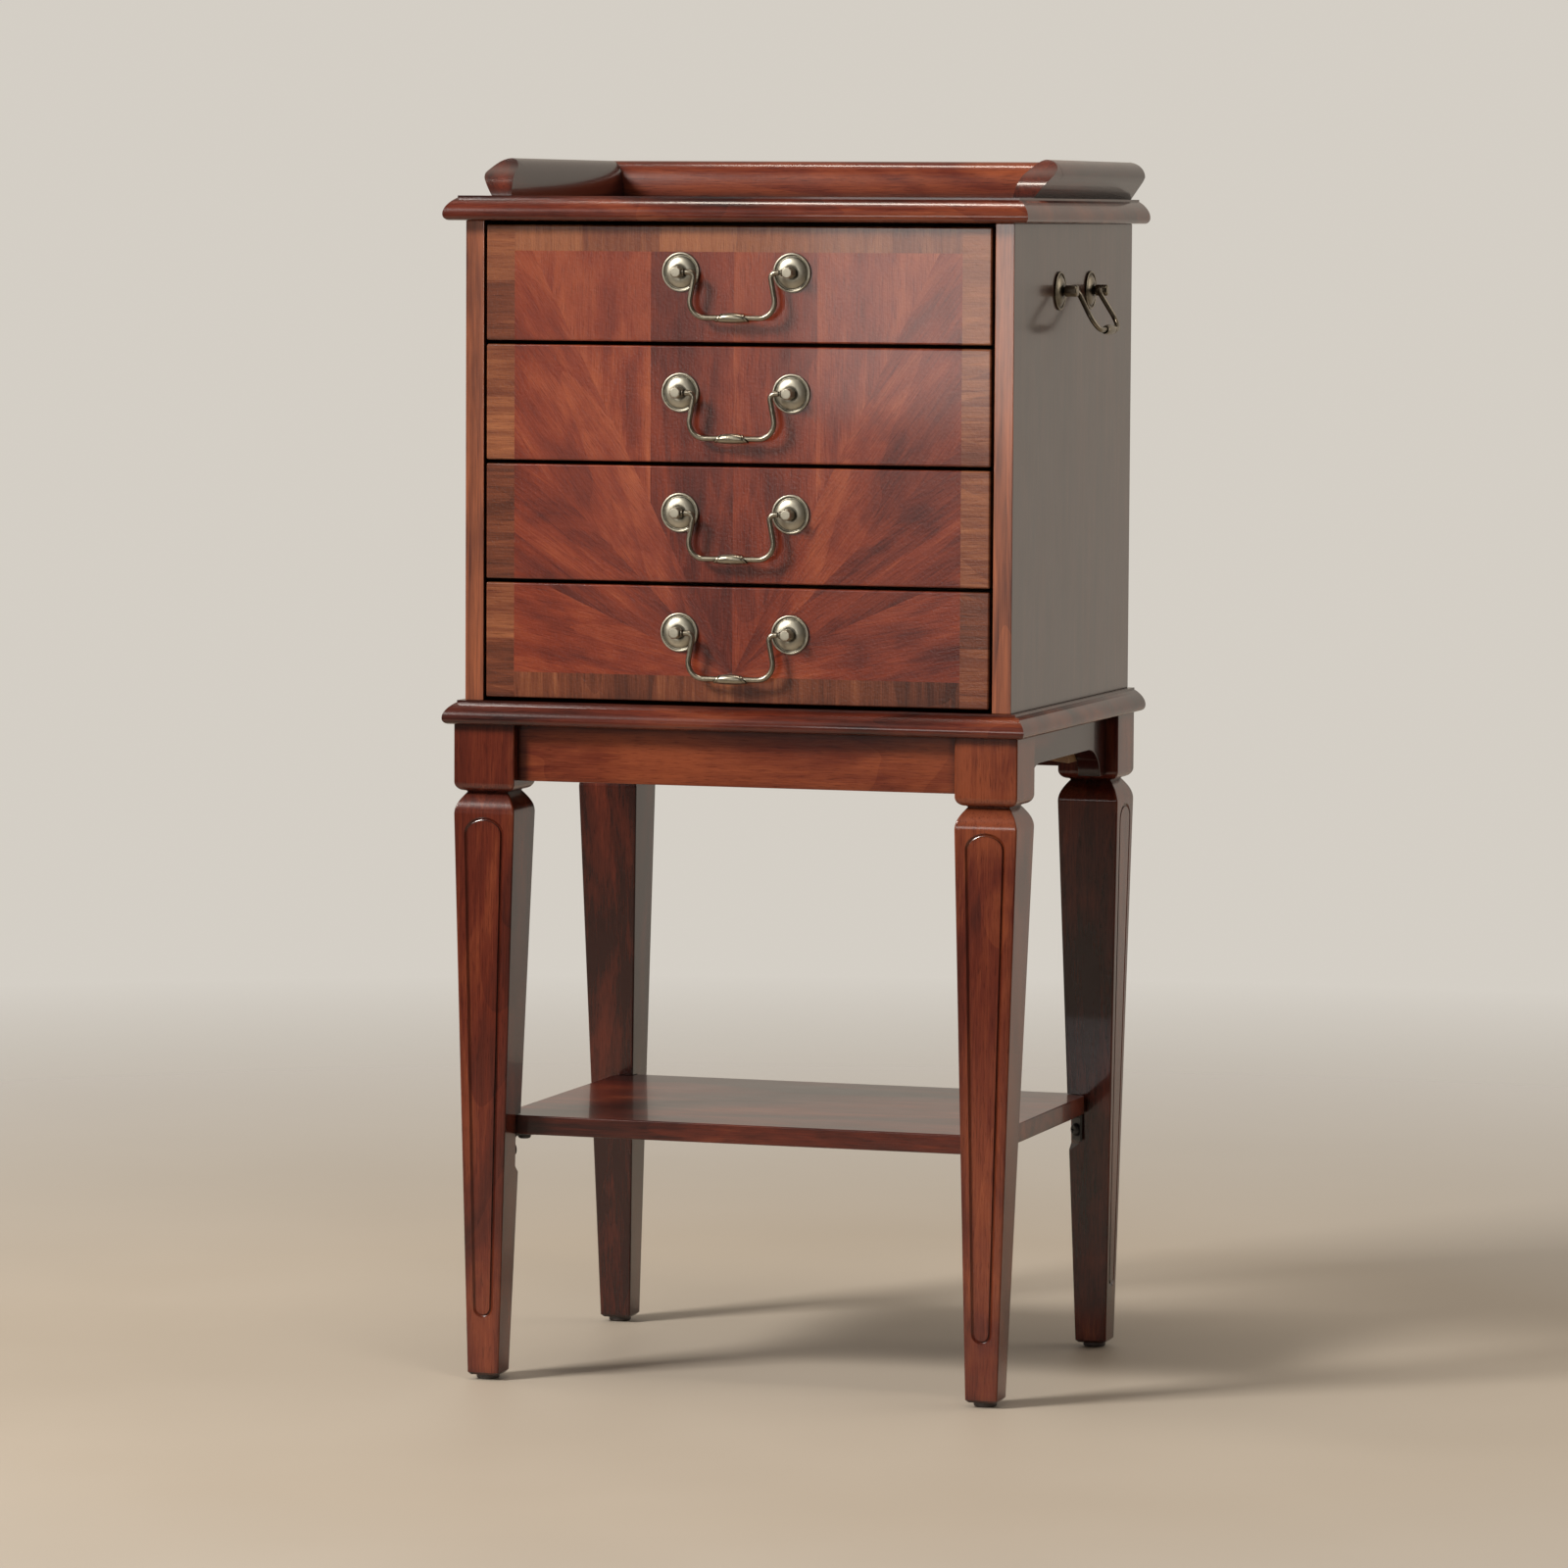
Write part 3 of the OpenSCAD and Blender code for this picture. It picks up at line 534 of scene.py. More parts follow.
def carve(made, cutters):
    """Cuts other shapes out of a finished shape."""
    for i, cutter in enumerate(cutters):
        tool = make_object(f"{made.name}_cutter_{i}", cutter)
        cut = made.modifiers.new("cut", "BOOLEAN")
        cut.operation = "DIFFERENCE"
        cut.solver = "EXACT"
        cut.object = tool
        bpy.context.view_layer.update()
        result = bpy.data.meshes.new_from_object(made.evaluated_get(bpy.context.evaluated_depsgraph_get()))
        made.modifiers.clear()
        made.data = result
        bpy.data.objects.remove(tool)


def finish_piece(name, bm, material, body, replaced, angle=38, cutters=()):
    """A piece in place: shaded smooth up to angle, riding on its body and standing for its CAD nodes."""
    made = make_object(name, bm)
    carve(made, cutters)
    made.data.name = name
    made.data.materials.clear()
    made.data.materials.append(material)
    made.data.shade_smooth()
    made.data.set_sharp_from_angle(angle=math.radians(angle))
    weighted = made.modifiers.new("even_normals", "WEIGHTED_NORMAL")
    weighted.keep_sharp = True
    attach(made, body)
    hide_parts(*([replaced] if isinstance(replaced, str) else replaced))
    return made


# ---------- case ----------

def slab_edge(thick):
    """Moulded edge of the top and base panels from the underside up, as (inward, up)."""
    nose, step_in, step_up = 4.5 * MM, 9.3 * MM, 1.6 * MM
    cove = bezier((0, nose + 0.5 * MM), (0, 0.5 * thick), (0.43 * step_in, 0.76 * thick),
                  (step_in, thick - step_up), 18)
    return arc((nose, nose), (nose, nose), 270, 180, 10) + cove + [(step_in, thick)]


def moulded_slab(name, node, material):
    """A panel drawn up from its underside, moving in along the edge on the front and the two sides."""
    low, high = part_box(node)
    rings = []
    for inward, up in slab_edge(high.z - low.z):
        x, y, z = high.x - inward, low.y + inward, low.z + up
        rings.append([(-x, y, z), (x, y, z), (x, high.y, z), (-x, high.y, z)])
    return finish_piece(name, drawn_up(rings), material, "root", node, angle=50)


RIM_THICK, RIM_FLARE = 16 * MM, 11.6 * MM


def rim_inner(height):
    """Inner face of a rim's section from its foot to its crest, as (out, up)."""
    return bezier((0, 0), (0.5 * MM, 0.4 * height), (4 * MM, 0.95 * height), (0.88 * RIM_THICK, height), 18)


def rim_outer(height):
    """Flared outer face of a rim's section from its crest down to its foot, as (out, up)."""
    wide = RIM_THICK + RIM_FLARE
    return bezier((0.88 * RIM_THICK, height), (RIM_THICK + 0.45 * RIM_FLARE, height), (wide, 0.83 * height),
                  (wide, 0.6 * height), 18) + [(RIM_THICK + 0.86 * RIM_FLARE, 0.48 * height), (RIM_THICK, 0)]


def height_on(points, z):
    """Distance out at height z along points that only rise."""
    for (x0, z0), (x1, z1) in zip(points, points[1:]):
        if z0 <= z <= z1:
            return x0 + (x1 - x0) * (z - z0) / max(z1 - z0, 1e-9)
    return points[-1][0]


def rim_end(height):
    """Scroll at the front end of a side rim, as (back, up)."""
    long = 41 * MM
    return (bezier((0, 0.012 * height), (0.04 * long, 0.17 * height), (0.15 * long, 0.41 * height),
                   (0.32 * long, 0.535 * height), 14)
            + bezier((0.32 * long, 0.535 * height), (0.54 * long, 0.7 * height), (0.8 * long, 0.73 * height),
                     (long, height), 18)[1:])


def below(points, limit, count):
    """What lies below a height on a line that only rises, as count evenly spaced points."""
    kept = [p for p in points if p[1] < limit] + [(height_on(points, limit), limit)]
    gaps = [math.dist(p, q) for p, q in zip(kept, kept[1:])]
    spaced = []
    for i in range(count):
        left = sum(gaps) * i / (count - 1)
        step = 0
        while step < len(gaps) - 1 and left > gaps[step]:
            left -= gaps[step]
            step += 1
        share = min(left / gaps[step], 1) if gaps[step] else 0
        spaced.append(tuple(a + (b - a) * share for a, b in zip(kept[step], kept[step + 1])))
    return spaced


def side_rim(name, node, side, material):
    """The flared section runs back from the front; near the front it is cut down to the scroll."""
    low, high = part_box(node)
    foot = min(abs(low.x), abs(high.x))
    height = high.z - low.z
    inner, outer = rim_inner(height), rim_outer(height)[::-1]
    stations = rim_end(height) + [(high.y - low.y, height)]
    rings = []
    for back, limit in stations:
        section = below(inner, limit, 22) + below(outer, limit * 0.9999, 30)[::-1]
        rings.append([(foot + x, low.y + back, low.z + z) for x, z in section])
    bm = drawn_up(rings)
    cut_flat(bm, (foot, high.y - RIM_THICK, 0), Vector((-1, 1, 0)).normalized())
    if side < 0:
        bmesh.ops.scale(bm, vec=(-1, 1, 1), verts=bm.verts)
    return finish_piece(name, bm, material, "root", node, angle=40)


def cut_flat(bm, point, away):
    """Cuts off what lies on the side that away points to, and closes the cut."""
    everything = bm.verts[:] + bm.edges[:] + bm.faces[:]
    result = bmesh.ops.bisect_plane(bm, geom=everything, plane_co=point, plane_no=away, clear_outer=True)
    edges = [e for e in result["geom_cut"] if isinstance(e, bmesh.types.BMEdge)]
    bmesh.ops.edgeloop_fill(bm, edges=edges)


def back_rim(material):
    low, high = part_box("rim_back")
    height = high.z - low.z
    section = [(low.y + x, low.z + z) for x, z in rim_inner(height)] + [(high.y, high.z), (high.y, low.z)]
    bm = prism([(low.x, y, z) for y, z in section], (high.x - low.x, 0, 0))
    for side in (-1, 1):
        foot = side * (high.x - RIM_THICK)
        cut_flat(bm, (foot, low.y, 0), Vector((side, -1, 0)).normalized())
    return finish_piece("back_rim", bm, material, "root", "rim_back", angle=40)


def case(sides, across, deep, rear):
    for side, end in HANDS:
        low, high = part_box(f"side_panel_{end}")
        rebate = 7 * MM
        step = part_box("back_panel")[0].y
        panel = block(low, high, 0.7 * MM)
        inner = low.x if side > 0 else high.x - rebate
        cutter = block((inner - (MM if side > 0 else 0), step, low.z - MM),
                       (inner + rebate + (0 if side > 0 else MM), high.y + MM, high.z + MM), 0)
        finish_piece(f"side_panel.{end}", panel, sides, "root", f"side_panel_{end}",
                     cutters=[cutter])
        side_rim(f"side_rim.{end}", f"rim_{end}", side, deep)
    moulded_slab("top_slab", "top_panel", across)
    moulded_slab("base_slab", "base_panel", across)
    back_rim(rear)


def side_veneer():
    """Dark straight-grained veneer, with a lipping of plain cherry along the front edges."""
    finish = Finish("side_veneer", Coat_Weight=0.65, Coat_Roughness=0.12)
    value, pores = wood_figure(finish, finish.place(), 0.5, 0.6)
    _, y, _ = finish.split(finish.place())
    sides = finish.ramp(value, [(0.2, (0.018, 0.007, 0.0040)), (0.55, (0.048, 0.016, 0.008)),
                                (0.88, (0.090, 0.031, 0.015))])
    lipping = finish.ramp(value, [(0.30, (0.085, 0.019, 0.009)), (0.70, (0.380, 0.110, 0.042))])
    at_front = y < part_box("side_panel_left")[0].y + 0.5 * MM
    return lacquered(finish, finish.mix(at_front, sides, lipping), pores, 0.28, 0.04 * MM)


# ---------- stand ----------

class Leg:
    """Sizes of a leg, drawn from its outer corner with x and y inwards from the block's faces."""
    low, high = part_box("leg_front_left")
    block = 49.4 * MM
    foot = 25.5 * MM
    ease = 7 * MM
    neck = 8.2 * MM
    shoulder_tall = 17 * MM
    base = low.z
    top = high.z
    block_z = top - 52 * MM
    shoulder = block_z - 1 * MM - shoulder_tall
    taper = block - foot
    tall = shoulder - base


def leg_edge(narrow):
    """One side of a leg from the floor up, as (inward, up); the foot is narrower by narrow."""
    leg = Leg
    curve = bezier((0, leg.shoulder), (0, leg.shoulder + 0.42 * leg.shoulder_tall),
                   (0.5 * leg.neck, leg.block_z - 0.35 * leg.shoulder_tall),
                   (leg.neck, leg.block_z - MM), 20)
    return ([(narrow + 2 * MM, leg.base), (narrow, leg.base + 2 * MM)] + curve
            + arc((leg.ease, leg.block_z + leg.ease), (leg.ease, leg.ease), 270, 180, 12) + [(0, leg.top)])


def panel_outline(inset, lean):
    """Outline of the carved panel, shrunk by inset; its middle leans by lean for each step downwards."""
    leg = Leg
    wide, narrow = 16.1 * MM, 8.1 * MM
    high = leg.block_z - 19.9 * MM - 0.8 * wide
    low = leg.base + 45 * MM + narrow
    points = (arc((0, high), (wide - inset, 0.8 * wide - inset), 0, 180, 28)
              + arc((0, low), (narrow - inset, narrow - inset), 180, 360, 20))
    return [(x + lean * (leg.shoulder - z), z) for x, z in points]


def groove_cutter(lean):
    """A closed hollow band along the panel's outline, as (across, depth, up) with depth into the wood."""
    width, depth, above = 2.7 * MM, 1.3 * MM, 0.6 * MM
    hollow = ((0, 0), (0.26, 0.5), (0.5, 0.84), (0.7, 1), (0.86, 0.84), (1, 0))
    section = ([(-0.3 * MM, -above)] + [(width * share, depth * deep) for share, deep in hollow]
               + [(width + 0.1 * MM, -above)])
    bm = bmesh.new()
    loops = []
    for inset, deep in section:
        verts = [bm.verts.new((x, deep, z)) for x, z in panel_outline(inset, lean)]
        loops.append([bm.edges.new((a, b)) for a, b in zip(verts, verts[1:] + verts[:1])])
    for one, other in zip(loops, loops[1:] + loops[:1]):
        bmesh.ops.bridge_loops(bm, edges=one + other)
    return bm


def corner_to_notch():
    """How far the notch for the shelf lies from a leg's outer corner, along the diagonal."""
    leg = Leg
    shelf_low, shelf_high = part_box("shelf")
    corner_cut = 11 * MM
    tapered = 1 - ((shelf_low.z + shelf_high.z) / 2 - leg.base) / leg.tall
    return (2 * leg.block - 1.5 * leg.taper * tapered - corner_cut) / math.sqrt(2)


def shelf_notch():
    """The flat on the inner corner of a leg, where the shelf and its bracket sit."""
    leg = Leg
    shelf_low, shelf_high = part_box("shelf")
    near = corner_to_notch()
    far = near + 22 * MM
    low, high = shelf_low.z - 25 * MM, shelf_high.z + 0.4 * MM
    bm = prism([(near, -leg.block, low), (near, -leg.block, high), (far, -leg.block, high),
                (far, -leg.block, low - 24 * MM)], (0, 2 * leg.block, 0))
    return moved(bm, rotation(45, "Z"))


def leg_ring(near_x, far_x, near_y, far_y, z, radius=1.3 * MM):
    """Cross-section of a leg with rounded corners."""
    corners = ((far_x - radius, near_y + radius, 270), (far_x - radius, far_y - radius, 0),
               (near_x + radius, far_y - radius, 90), (near_x + radius, near_y + radius, 180))
    return [(x, y, z) for across, deep, start in corners
            for x, y in arc((across, deep), (radius, radius), start, start + 90, 4)]


def each_leg():
    """Name and frame of each leg; the frame stands on its outer corner with x and y inwards."""
    for end, back in (("front", 1), ("rear", -1)):
        for side, hand in HANDS:
            low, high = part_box(f"leg_{end}_{hand}")
            corner = Vector((low.x if side < 0 else high.x, low.y if end == "front" else high.y, 0))
            yield end, hand, Matrix.Translation(corner) @ Matrix.Diagonal((-side, back, 1, 1))


def legs(material):
    """Four tapered legs; the front pair is carved on its front faces, the rear pair on its outer faces."""
    leg = Leg
    sides = list(zip(leg_edge(leg.taper / 2), leg_edge(0), leg_edge(leg.taper)))
    rings = [leg_ring(x, leg.block - x, y, leg.block - far, z) for (x, z), (y, _), (far, _) in sides]
    tilt = math.degrees(math.atan(leg.taper / 2 / leg.tall))
    for end, hand, place in each_leg():
        if end == "front":
            groove = moved(groove_cutter(0), Matrix.Translation((leg.block / 2, 0, 0)))
        else:
            turn = (Matrix.Translation((0, leg.block / 2, leg.shoulder)) @ rotation(-tilt, "Y")
                    @ Matrix.Translation((0, 0, -leg.shoulder)) @ rotation(-90, "Z"))
            groove = moved(groove_cutter(leg.taper / 2 / leg.tall), turn)
        cutters = [moved(groove, place), moved(shelf_notch(), place)]
        finish_piece(f"leg.{end}.{hand}", moved(drawn_up(rings), place), material, "root",
                     f"leg_{end}_{hand}", angle=34, cutters=cutters)


def aprons(across, deep):
    for end in ("front", "rear"):
        low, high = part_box(f"apron_{end}")
        finish_piece(f"apron.{end}", block(low, high, 0.6 * MM), across, "root", f"apron_{end}")
    for _, hand in HANDS:
        low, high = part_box(f"apron_{hand}")
        start, rise = 17 * MM, 23 * MM
        run = 1.55 * rise
        rising = arc((low.y + start + run, low.z), (run, rise), 180, 90, 20)
        falling = arc((high.y - start - run, low.z), (run, rise), 90, 0, 20)
        outline = [(low.y, low.z)] + rising + falling + [(high.y, low.z), (high.y, high.z), (low.y, high.z)]
        bm = prism([(low.x, y, z) for y, z in outline], (high.x - low.x, 0, 0))
        arch = [e for e in bm.edges if abs(e.verts[0].co.x - e.verts[1].co.x) < 1e-7
                and max(v.co.z for v in e.verts) < high.z - 10 * MM]
        ease(bm, arch, 0.7 * MM)
        finish_piece(f"apron.{hand}", bm, deep, "root", f"apron_{hand}")


def shelf(material):
    low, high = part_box("shelf")
    leg_low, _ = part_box("leg_front_left")
    clip = (corner_to_notch() + 0.4 * MM) * math.sqrt(2) - (low.x - leg_low.x) - (low.y - leg_low.y)
    outline = [(low.x + clip, low.y), (high.x - clip, low.y), (high.x, low.y + clip),
               (high.x, high.y - clip), (high.x - clip, high.y), (low.x + clip, high.y),
               (low.x, high.y - clip), (low.x, low.y + clip)]
    bm = prism([(x, y, low.z) for x, y in outline], (0, 0, high.z - low.z))
    ease(bm, bm.edges, 1.2 * MM, 3)
    finish_piece("shelf_board", bm, material, "root", "shelf")


def glides(material):
    for end in ("front", "rear"):
        for _, hand in HANDS:
            low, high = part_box(f"leg_{end}_{hand}")
            x = (low.x + high.x) / 2
            y = low.y + Leg.foot / 2 if end == "front" else high.y - Leg.foot / 2
            radius, tall = 9 * MM, low.z
            profile = ([(0, 0.6 * MM), (3 * MM, 0.6 * MM), (3.6 * MM, 0)]
                       + arc((radius - 2 * MM, 2 * MM), (2 * MM, 2 * MM), 270, 360, 6)
                       + [(radius, tall), (0, tall)])
            glide = moved(turned(profile, "Z", 40), Matrix.Translation((x, y, 0)))
            finish_piece(f"glide.{end}.{hand}", glide, material, "root", "foot_glides",
                         angle=50)


def brackets(material):
    """Steel angles under the corners of the shelf, each held by two cross-head screws."""
    near = corner_to_notch()
    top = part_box("shelf")[0].z
    arm, thick, wide = 22 * MM, 2 * MM, 13 * MM
    section = [(near, top - arm), (near + thick, top - arm), (near + thick, top - 2 * thick),
               (near + 2 * thick, top - thick), (near + arm, top - thick), (near + arm, top), (near, top)]
    head = [(0, 0), (5.2 * MM, 0)] + arc((3.2 * MM, 1 * MM), (2 * MM, 2 * MM), 0, 90, 8) + [(0, 3 * MM)]
    spots = ((Matrix.Translation((near + thick, 0, top - 0.6 * arm)) @ rotation(90, "Y"), "leg"),
             (Matrix.Translation((near + 0.6 * arm, 0, top - thick)) @ rotation(180, "X"), "shelf"))
    for end, hand, corner in each_leg():
        place = corner @ rotation(45, "Z")
        angle_iron = prism([(u, -wide / 2, z) for u, z in section], (0, wide, 0))
        ease(angle_iron, angle_iron.edges, 0.3 * MM)
        finish_piece(f"bracket.{end}.{hand}", moved(angle_iron, place), material, "root",
                     "shelf_brackets")
        for spot, into in spots:
            slots = [moved(block((-a, -b, 1.6 * MM), (a, b, 4 * MM), 0), place @ spot)
                     for a, b in ((2.6 * MM, 0.5 * MM), (0.5 * MM, 2.6 * MM))]
            screw = moved(turned(head, "Z", 32), place @ spot)
            finish_piece(f"screw.{end}.{hand}.{into}", screw, material, "root",
                         "bracket_screws", cutters=slots)


# ---------- pulls ----------

ROSETTE_RADIUS = 15 * MM
POST_RADIUS = 4.3 * MM
POST_REACH = 15 * MM
HINGE_OUT = 10.5 * MM
ROD_RADIUS = 2.05 * MM
BAIL_SPAN = 88.9 * MM
BAIL_DROP = 34.5 * MM


def rosette():
    """A shallow dome with a beaded rim and a groove inside it."""
    profile = ([(0, 0), (ROSETTE_RADIUS, 0), (ROSETTE_RADIUS, 0.9 * MM)]
               + arc((ROSETTE_RADIUS - 0.9 * MM, 0.9 * MM), (0.9 * MM, 0.8 * MM), 0, 180, 10)
               + arc((ROSETTE_RADIUS - 2.4 * MM, 1.0 * MM), (0.6 * MM, 0.4 * MM), 360, 180, 6)
               + bezier((ROSETTE_RADIUS - 3.1 * MM, 1.1 * MM), (ROSETTE_RADIUS - 4.4 * MM, 2.3 * MM),
                        (ROSETTE_RADIUS - 6.6 * MM, 3.1 * MM), (POST_RADIUS + 1.6 * MM, 3.4 * MM), 14)
               + [(POST_RADIUS + 1.2 * MM, 3.2 * MM), (POST_RADIUS - 0.2 * MM, 3.2 * MM), (0, 3.2 * MM)])
    return turned(profile, "-Y", 64)


def post():
    """Round neck and an eight-sided head with a rounded tip."""
    flat = POST_RADIUS / math.cos(math.radians(22.5))
    waist = POST_RADIUS - 0.9 * MM
    neck = turned([(0, 2.9 * MM), (POST_RADIUS, 2.9 * MM), (POST_RADIUS, 3.7 * MM), (waist, 4.2 * MM),
                   (waist, 5.0 * MM), (POST_RADIUS, 5.4 * MM), (0, 5.4 * MM)], "-Y", 40)
    head = bmesh.new()
    bmesh.ops.create_cone(head, cap_ends=True, segments=8, radius1=flat, radius2=flat,
                          depth=POST_REACH - 5.4 * MM)
    rim = [e for e in head.edges if all(v.co.z > 0 for v in e.verts)]
    ease(head, rim, 1.5 * MM, 3)
    bmesh.ops.rotate(head, verts=head.verts, cent=(0, 0, 0), matrix=rotation(22.5, "Z"))
    bmesh.ops.rotate(head, verts=head.verts, cent=(0, 0, 0), matrix=rotation(90, "X"))
    bmesh.ops.translate(head, verts=head.verts, vec=(0, -(POST_REACH + 5.4 * MM) / 2, 0))
    return merged(neck, head)


def bail_path():
    """Half of the bail's middle line from its pin to the grip, as (across, up)."""
    neck_bend, belly = 4.2 * MM, 12.3 * MM
    neck_at = Vector((9.5 * MM, -neck_bend))
    belly_at = Vector((22.9 * MM, belly - BAIL_DROP))
    gap = belly_at - neck_at
    cross = math.degrees(math.atan2(gap.y, gap.x) + math.acos((neck_bend + belly) / gap.length))
    return (arc(neck_at, (neck_bend, neck_bend), 90, cross, 18)
            + arc(belly_at, (belly, belly), cross + 180, 270, 26))


def rod(points, name):
    """A round rod along points, each (x, z, radius), closed at both ends."""
    data = bpy.data.curves.new(name, "CURVE")
    data.dimensions = "3D"
    data.bevel_depth = 1.0
    data.bevel_resolution = 6
    data.use_fill_caps = True
    spline = data.splines.new("POLY")
    spline.points.add(len(points) - 1)
    for spot, (x, z, radius) in zip(spline.points, points):
        spot.co = (x, 0, z, 1)
        spot.radius = radius
    holder = bpy.data.objects.new(name, data)
    bpy.context.scene.collection.objects.link(holder)
    bpy.context.view_layer.update()
    mesh = bpy.data.meshes.new_from_object(holder.evaluated_get(bpy.context.evaluated_depsgraph_get()))
    bm = bmesh.new()
    bm.from_mesh(mesh)
    bpy.data.objects.remove(holder)
    return bm


def bail():
    """The whole bail with its hinge on the X axis and its middle at x = 0."""
    start = -BAIL_SPAN / 2
    pin, pin_radius, collar = POST_RADIUS + 0.3 * MM, 1.5 * MM, ROD_RADIUS + 0.7 * MM
    hinge = [(POST_RADIUS - 3.6 * MM, pin_radius), (pin, pin_radius), (pin + 0.01 * MM, collar - 0.3 * MM),
             (pin + 0.3 * MM, collar), (pin + 0.9 * MM, collar), (pin + 1.2 * MM, collar - 0.3 * MM),
             (pin + 1.21 * MM, pin_radius), (pin + 1.9 * MM, pin_radius), (pin + 2.5 * MM, ROD_RADIUS)]
    line = bail_path() + [(BAIL_SPAN / 2 - 5 * MM, -BAIL_DROP)]
    left = ([(start + x, 0, radius) for x, radius in hinge]
            + [(start + x, z, ROD_RADIUS) for x, z in line])
    whole = left + [(-x, z, radius) for x, z, radius in reversed(left)]
    wire = rod(whole, "rod")
    for vert in wire.verts:
        if abs(vert.co.x) < BAIL_SPAN / 2 - POST_RADIUS - 2 * MM and vert.co.y > 0:
            vert.co.y *= 0.9
    return merged(wire, grip())


def grip():
    """Swelling grip with lips at its ends that reach further under the rod than over it."""
    long, swell = 11.4 * MM, 3.9 * MM
    side = bezier((swell, 0), (swell, 0.35 * long), (swell - 0.25 * MM, 0.6 * long),
                  (swell - 0.75 * MM, 0.78 * long), 8)
    lip = [(swell - 1.0 * MM, 0.82 * long), (swell - 0.55 * MM, 0.90 * long),
           (swell - 0.75 * MM, 0.98 * long), (ROD_RADIUS - 0.1 * MM, long)]
    half = side + lip
    profile = [(0, -long)] + [(r, -h) for r, h in reversed(half[1:])] + half + [(0, long)]
    bm = turned(profile, "Z", 40)
    bmesh.ops.rotate(bm, verts=bm.verts, cent=(0, 0, 0), matrix=rotation(90, "Y"))
    for vert in bm.verts:
        vert.co.x *= 1 - 0.26 * vert.co.z / swell
    bmesh.ops.translate(bm, verts=bm.verts, vec=(0, 0, -BAIL_DROP))
    return bm


def pull(name, place, swing, metal, bodies, replaced):
    """Two rosettes and two posts in one metal and a bail in another; place puts them on their surface."""
    fixed, moving = bodies
    for side, end in HANDS:
        at = place @ Matrix.Translation((side * BAIL_SPAN / 2, 0, 0))
        finish_piece(f"{name}.rosette.{end}", moved(rosette(), at), metal[0], fixed,
                     replaced[0], angle=50)
        finish_piece(f"{name}.post.{end}", moved(post(), at), metal[0], fixed,
                     replaced[1], angle=30)
    hang = place @ Matrix.Translation((0, -HINGE_OUT, 0)) @ rotation(-swing, "X")
    finish_piece(f"{name}.bail", moved(bail(), hang), metal[1], moving, replaced[2], angle=40)


# ---------- drawers ----------

def drawer(k, metal, woods):
    body = f"drawer_{k}"
    front_low, front_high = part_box(f"{body}_front")
    bm = block(front_low, front_high, 1.5 * MM, 4)
    finish_piece(f"{body}.veneered_front", bm, woods["veneer"], body,
                 f"{body}_front", angle=60)
    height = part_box(f"{body}_rosettes")
    middle = (height[0].z + height[1].z) / 2
    pull(f"pull_{k}", Matrix.Translation((0, front_low.y, middle)), 0, metal, (body, f"bail_{k}"),
         (f"{body}_rosettes", f"{body}_posts", f"{body}_bail"))
    low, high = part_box(f"{body}_lining")
    pad = block(low, high, 0.6 * MM, 2)
    lining = finish_piece(f"{body}.felt", pad, woods["felt"], body, f"{body}_lining")


def ring_rolls(material):
    """Padded rolls side by side; rings stand in the slots between them."""
    low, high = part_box("ring_rolls")
    count = 13
    pitch = (high.y - low.y) / (count - 0.06)
    width = pitch - 0.8 * MM
    rolls = []
    for i in range(count):
        middle = low.y + width / 2 + i * pitch
        tall = high.z - low.z - width / 2
        section = [(-width / 2, 0), (width / 2, 0)] + arc((0, tall), (width / 2, width / 2), 0, 180, 14)
        bm = prism([(low.x, middle + y, low.z + z) for y, z in section], (high.x - low.x, 0, 0))
        ends = [e for e in bm.edges if abs(e.verts[0].co.x - e.verts[1].co.x) < 1e-7]
        ease(bm, ends, 1.6 * MM, 3)
        rolls.append(bm)
    padded = finish_piece("ring_pads", merged(*rolls), material, "drawer_1", "ring_rolls", angle=50)


def paint(names, material):
    for name in names:
        for slot in nodes[name].material_slots:
            slot.material = material


# ---------- the whole piece ----------

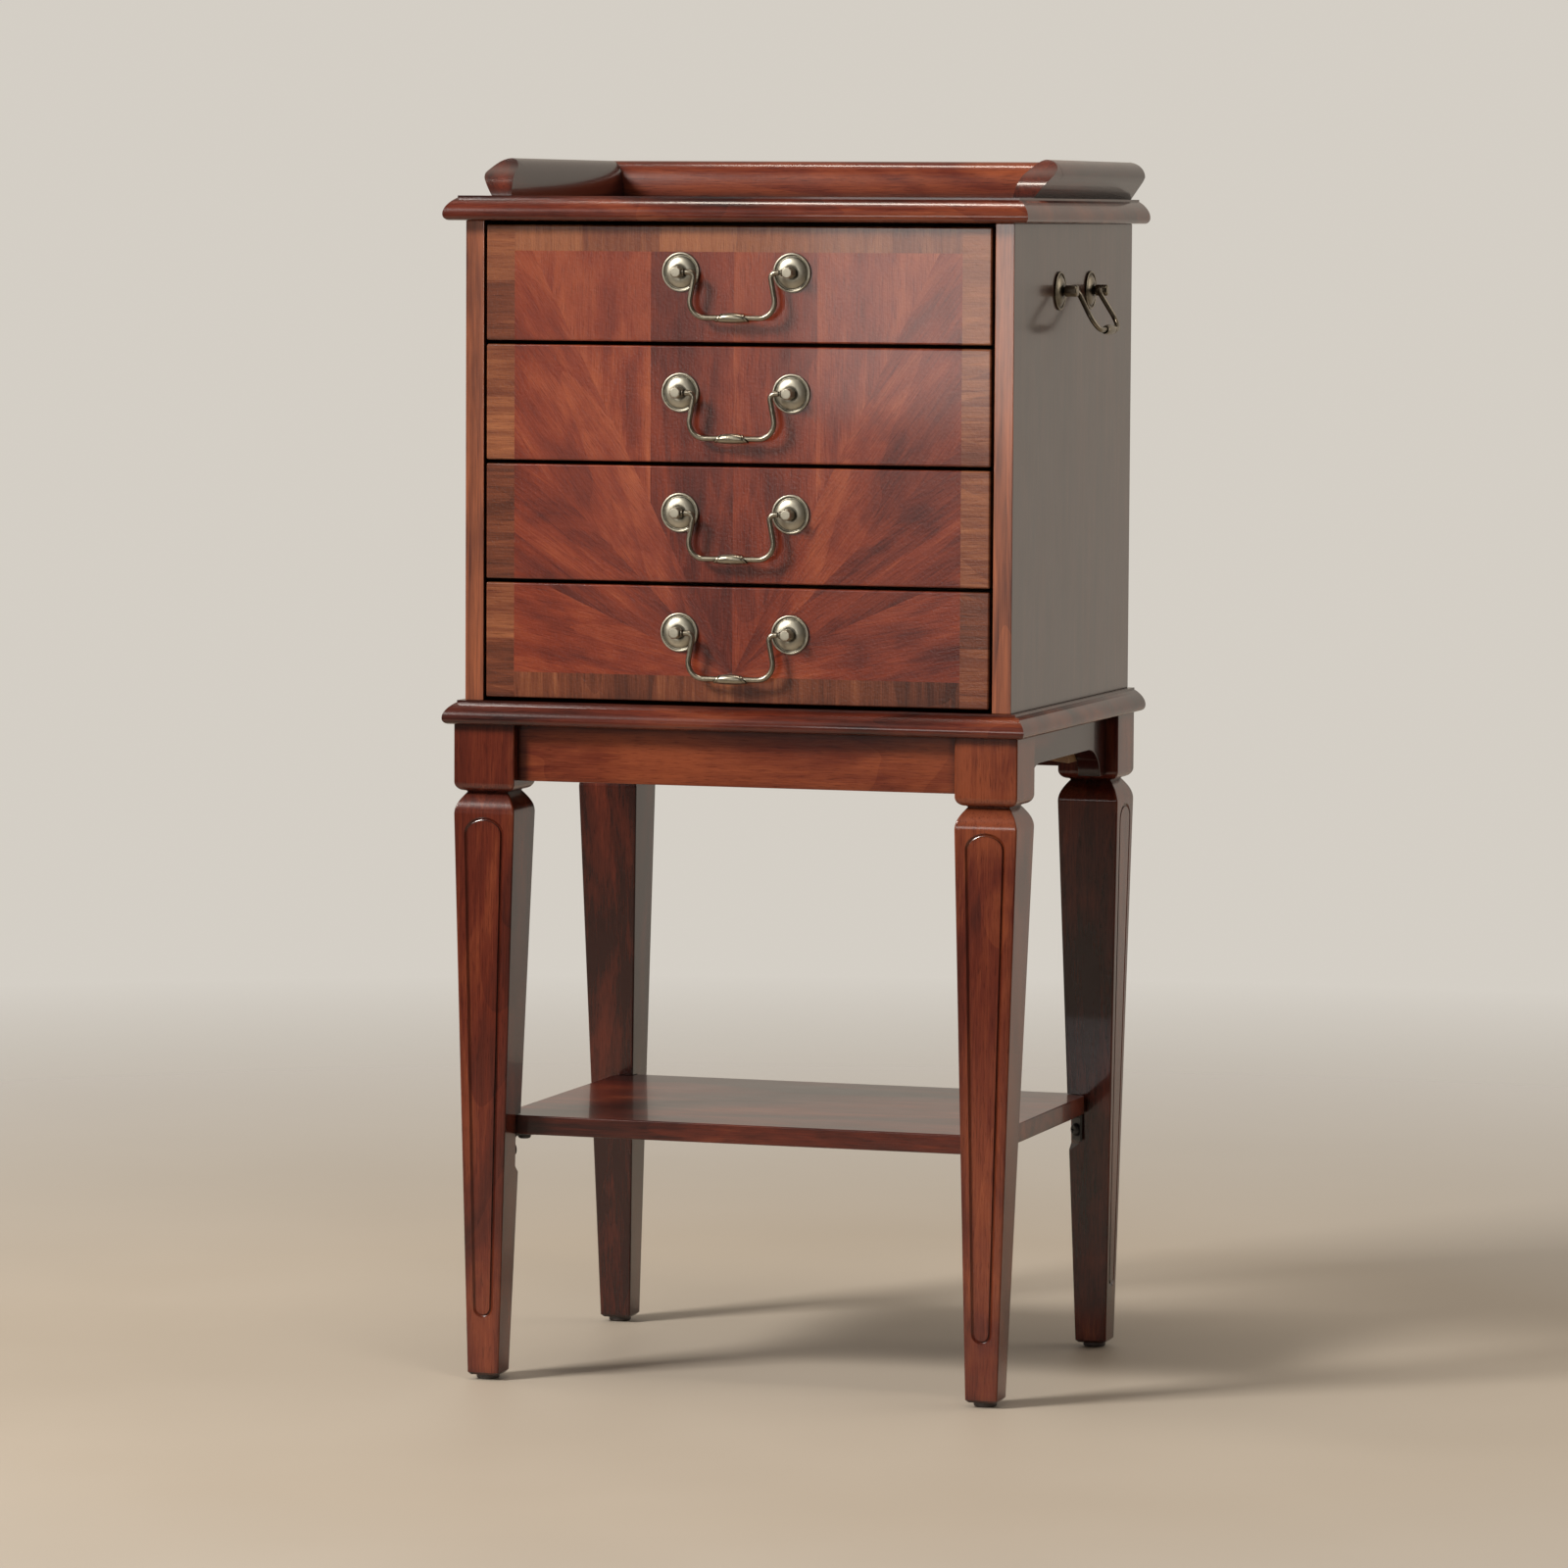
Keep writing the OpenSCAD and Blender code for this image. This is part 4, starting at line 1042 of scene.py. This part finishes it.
set_camera()
set_studio()
upright_cherry = cherry("cherry_upright", (0, 0, 0))
across_cherry = cherry("cherry_across", (0, math.pi / 2, 0), 0.06)
slab_cherry = cherry("cherry_slab", (0, math.pi / 2, 0), -0.13)
rim_cherry = cherry("cherry_rear_rim", (0, math.pi / 2, 0), 0.16)
deep_cherry = cherry("cherry_deep", (math.pi / 2, 0, 0), -0.34)
shelf_cherry = cherry("cherry_shelf", (0, math.pi / 2, 0), -0.02, 0.26)
bright_pewter = (pewter("pewter", (0.46, 0.43, 0.35), (0.045, 0.036, 0.024), -0.06),
                 pewter("pewter_bail", (0.30, 0.27, 0.21), (0.02, 0.016, 0.011), -0.10, 0.26))
dark_pewter = (pewter("pewter_dark", (0.27, 0.235, 0.18), (0.03, 0.024, 0.018), -0.10, 0.28),) * 2
box_across = plain_wood("box_wood_across", (0.20, 0.10, 0.045), (0.46, 0.29, 0.15), (0, math.pi / 2, 0))
box_deep = plain_wood("box_wood_deep", (0.20, 0.10, 0.045), (0.46, 0.29, 0.15), (math.pi / 2, 0, 0))
back_board = plain_wood("back_board", (0.045, 0.018, 0.011), (0.105, 0.045, 0.026), (0, 0, 0), 0.5)
wine_felt = felt()
steel = black_steel()

case(side_veneer(), slab_cherry, deep_cherry, rim_cherry)
legs(upright_cherry)
aprons(across_cherry, deep_cherry)
shelf(shelf_cherry)
glides(glide_plastic())
brackets(steel)
woods = {"veneer": drawer_veneer(), "felt": wine_felt}
for k in range(1, len(DRAWERS) + 1):
    drawer(k, bright_pewter, woods)
    paint([f"drawer_{k}_back", f"drawer_{k}_bottom"], box_across)
    paint([f"drawer_{k}_sides"], box_deep)
paint(["top_drawer_divider", "drawer_runners"], box_deep)
paint(["corner_braces"], box_across)
paint(["back_panel"], back_board)
ring_rolls(wine_felt)
for side, hand in HANDS:
    low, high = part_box("handle_rosettes")
    middle = Vector((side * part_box("side_panel_right")[1].x, (low.y + high.y) / 2, (low.z + high.z) / 2))
    pull(f"handle_{hand}", Matrix.Translation(middle) @ rotation(90 * side, "Z"), 30, dark_pewter,
         ("root", f"handle_{hand}"), ("handle_rosettes", "handle_posts", f"handle_bail_{hand}"))
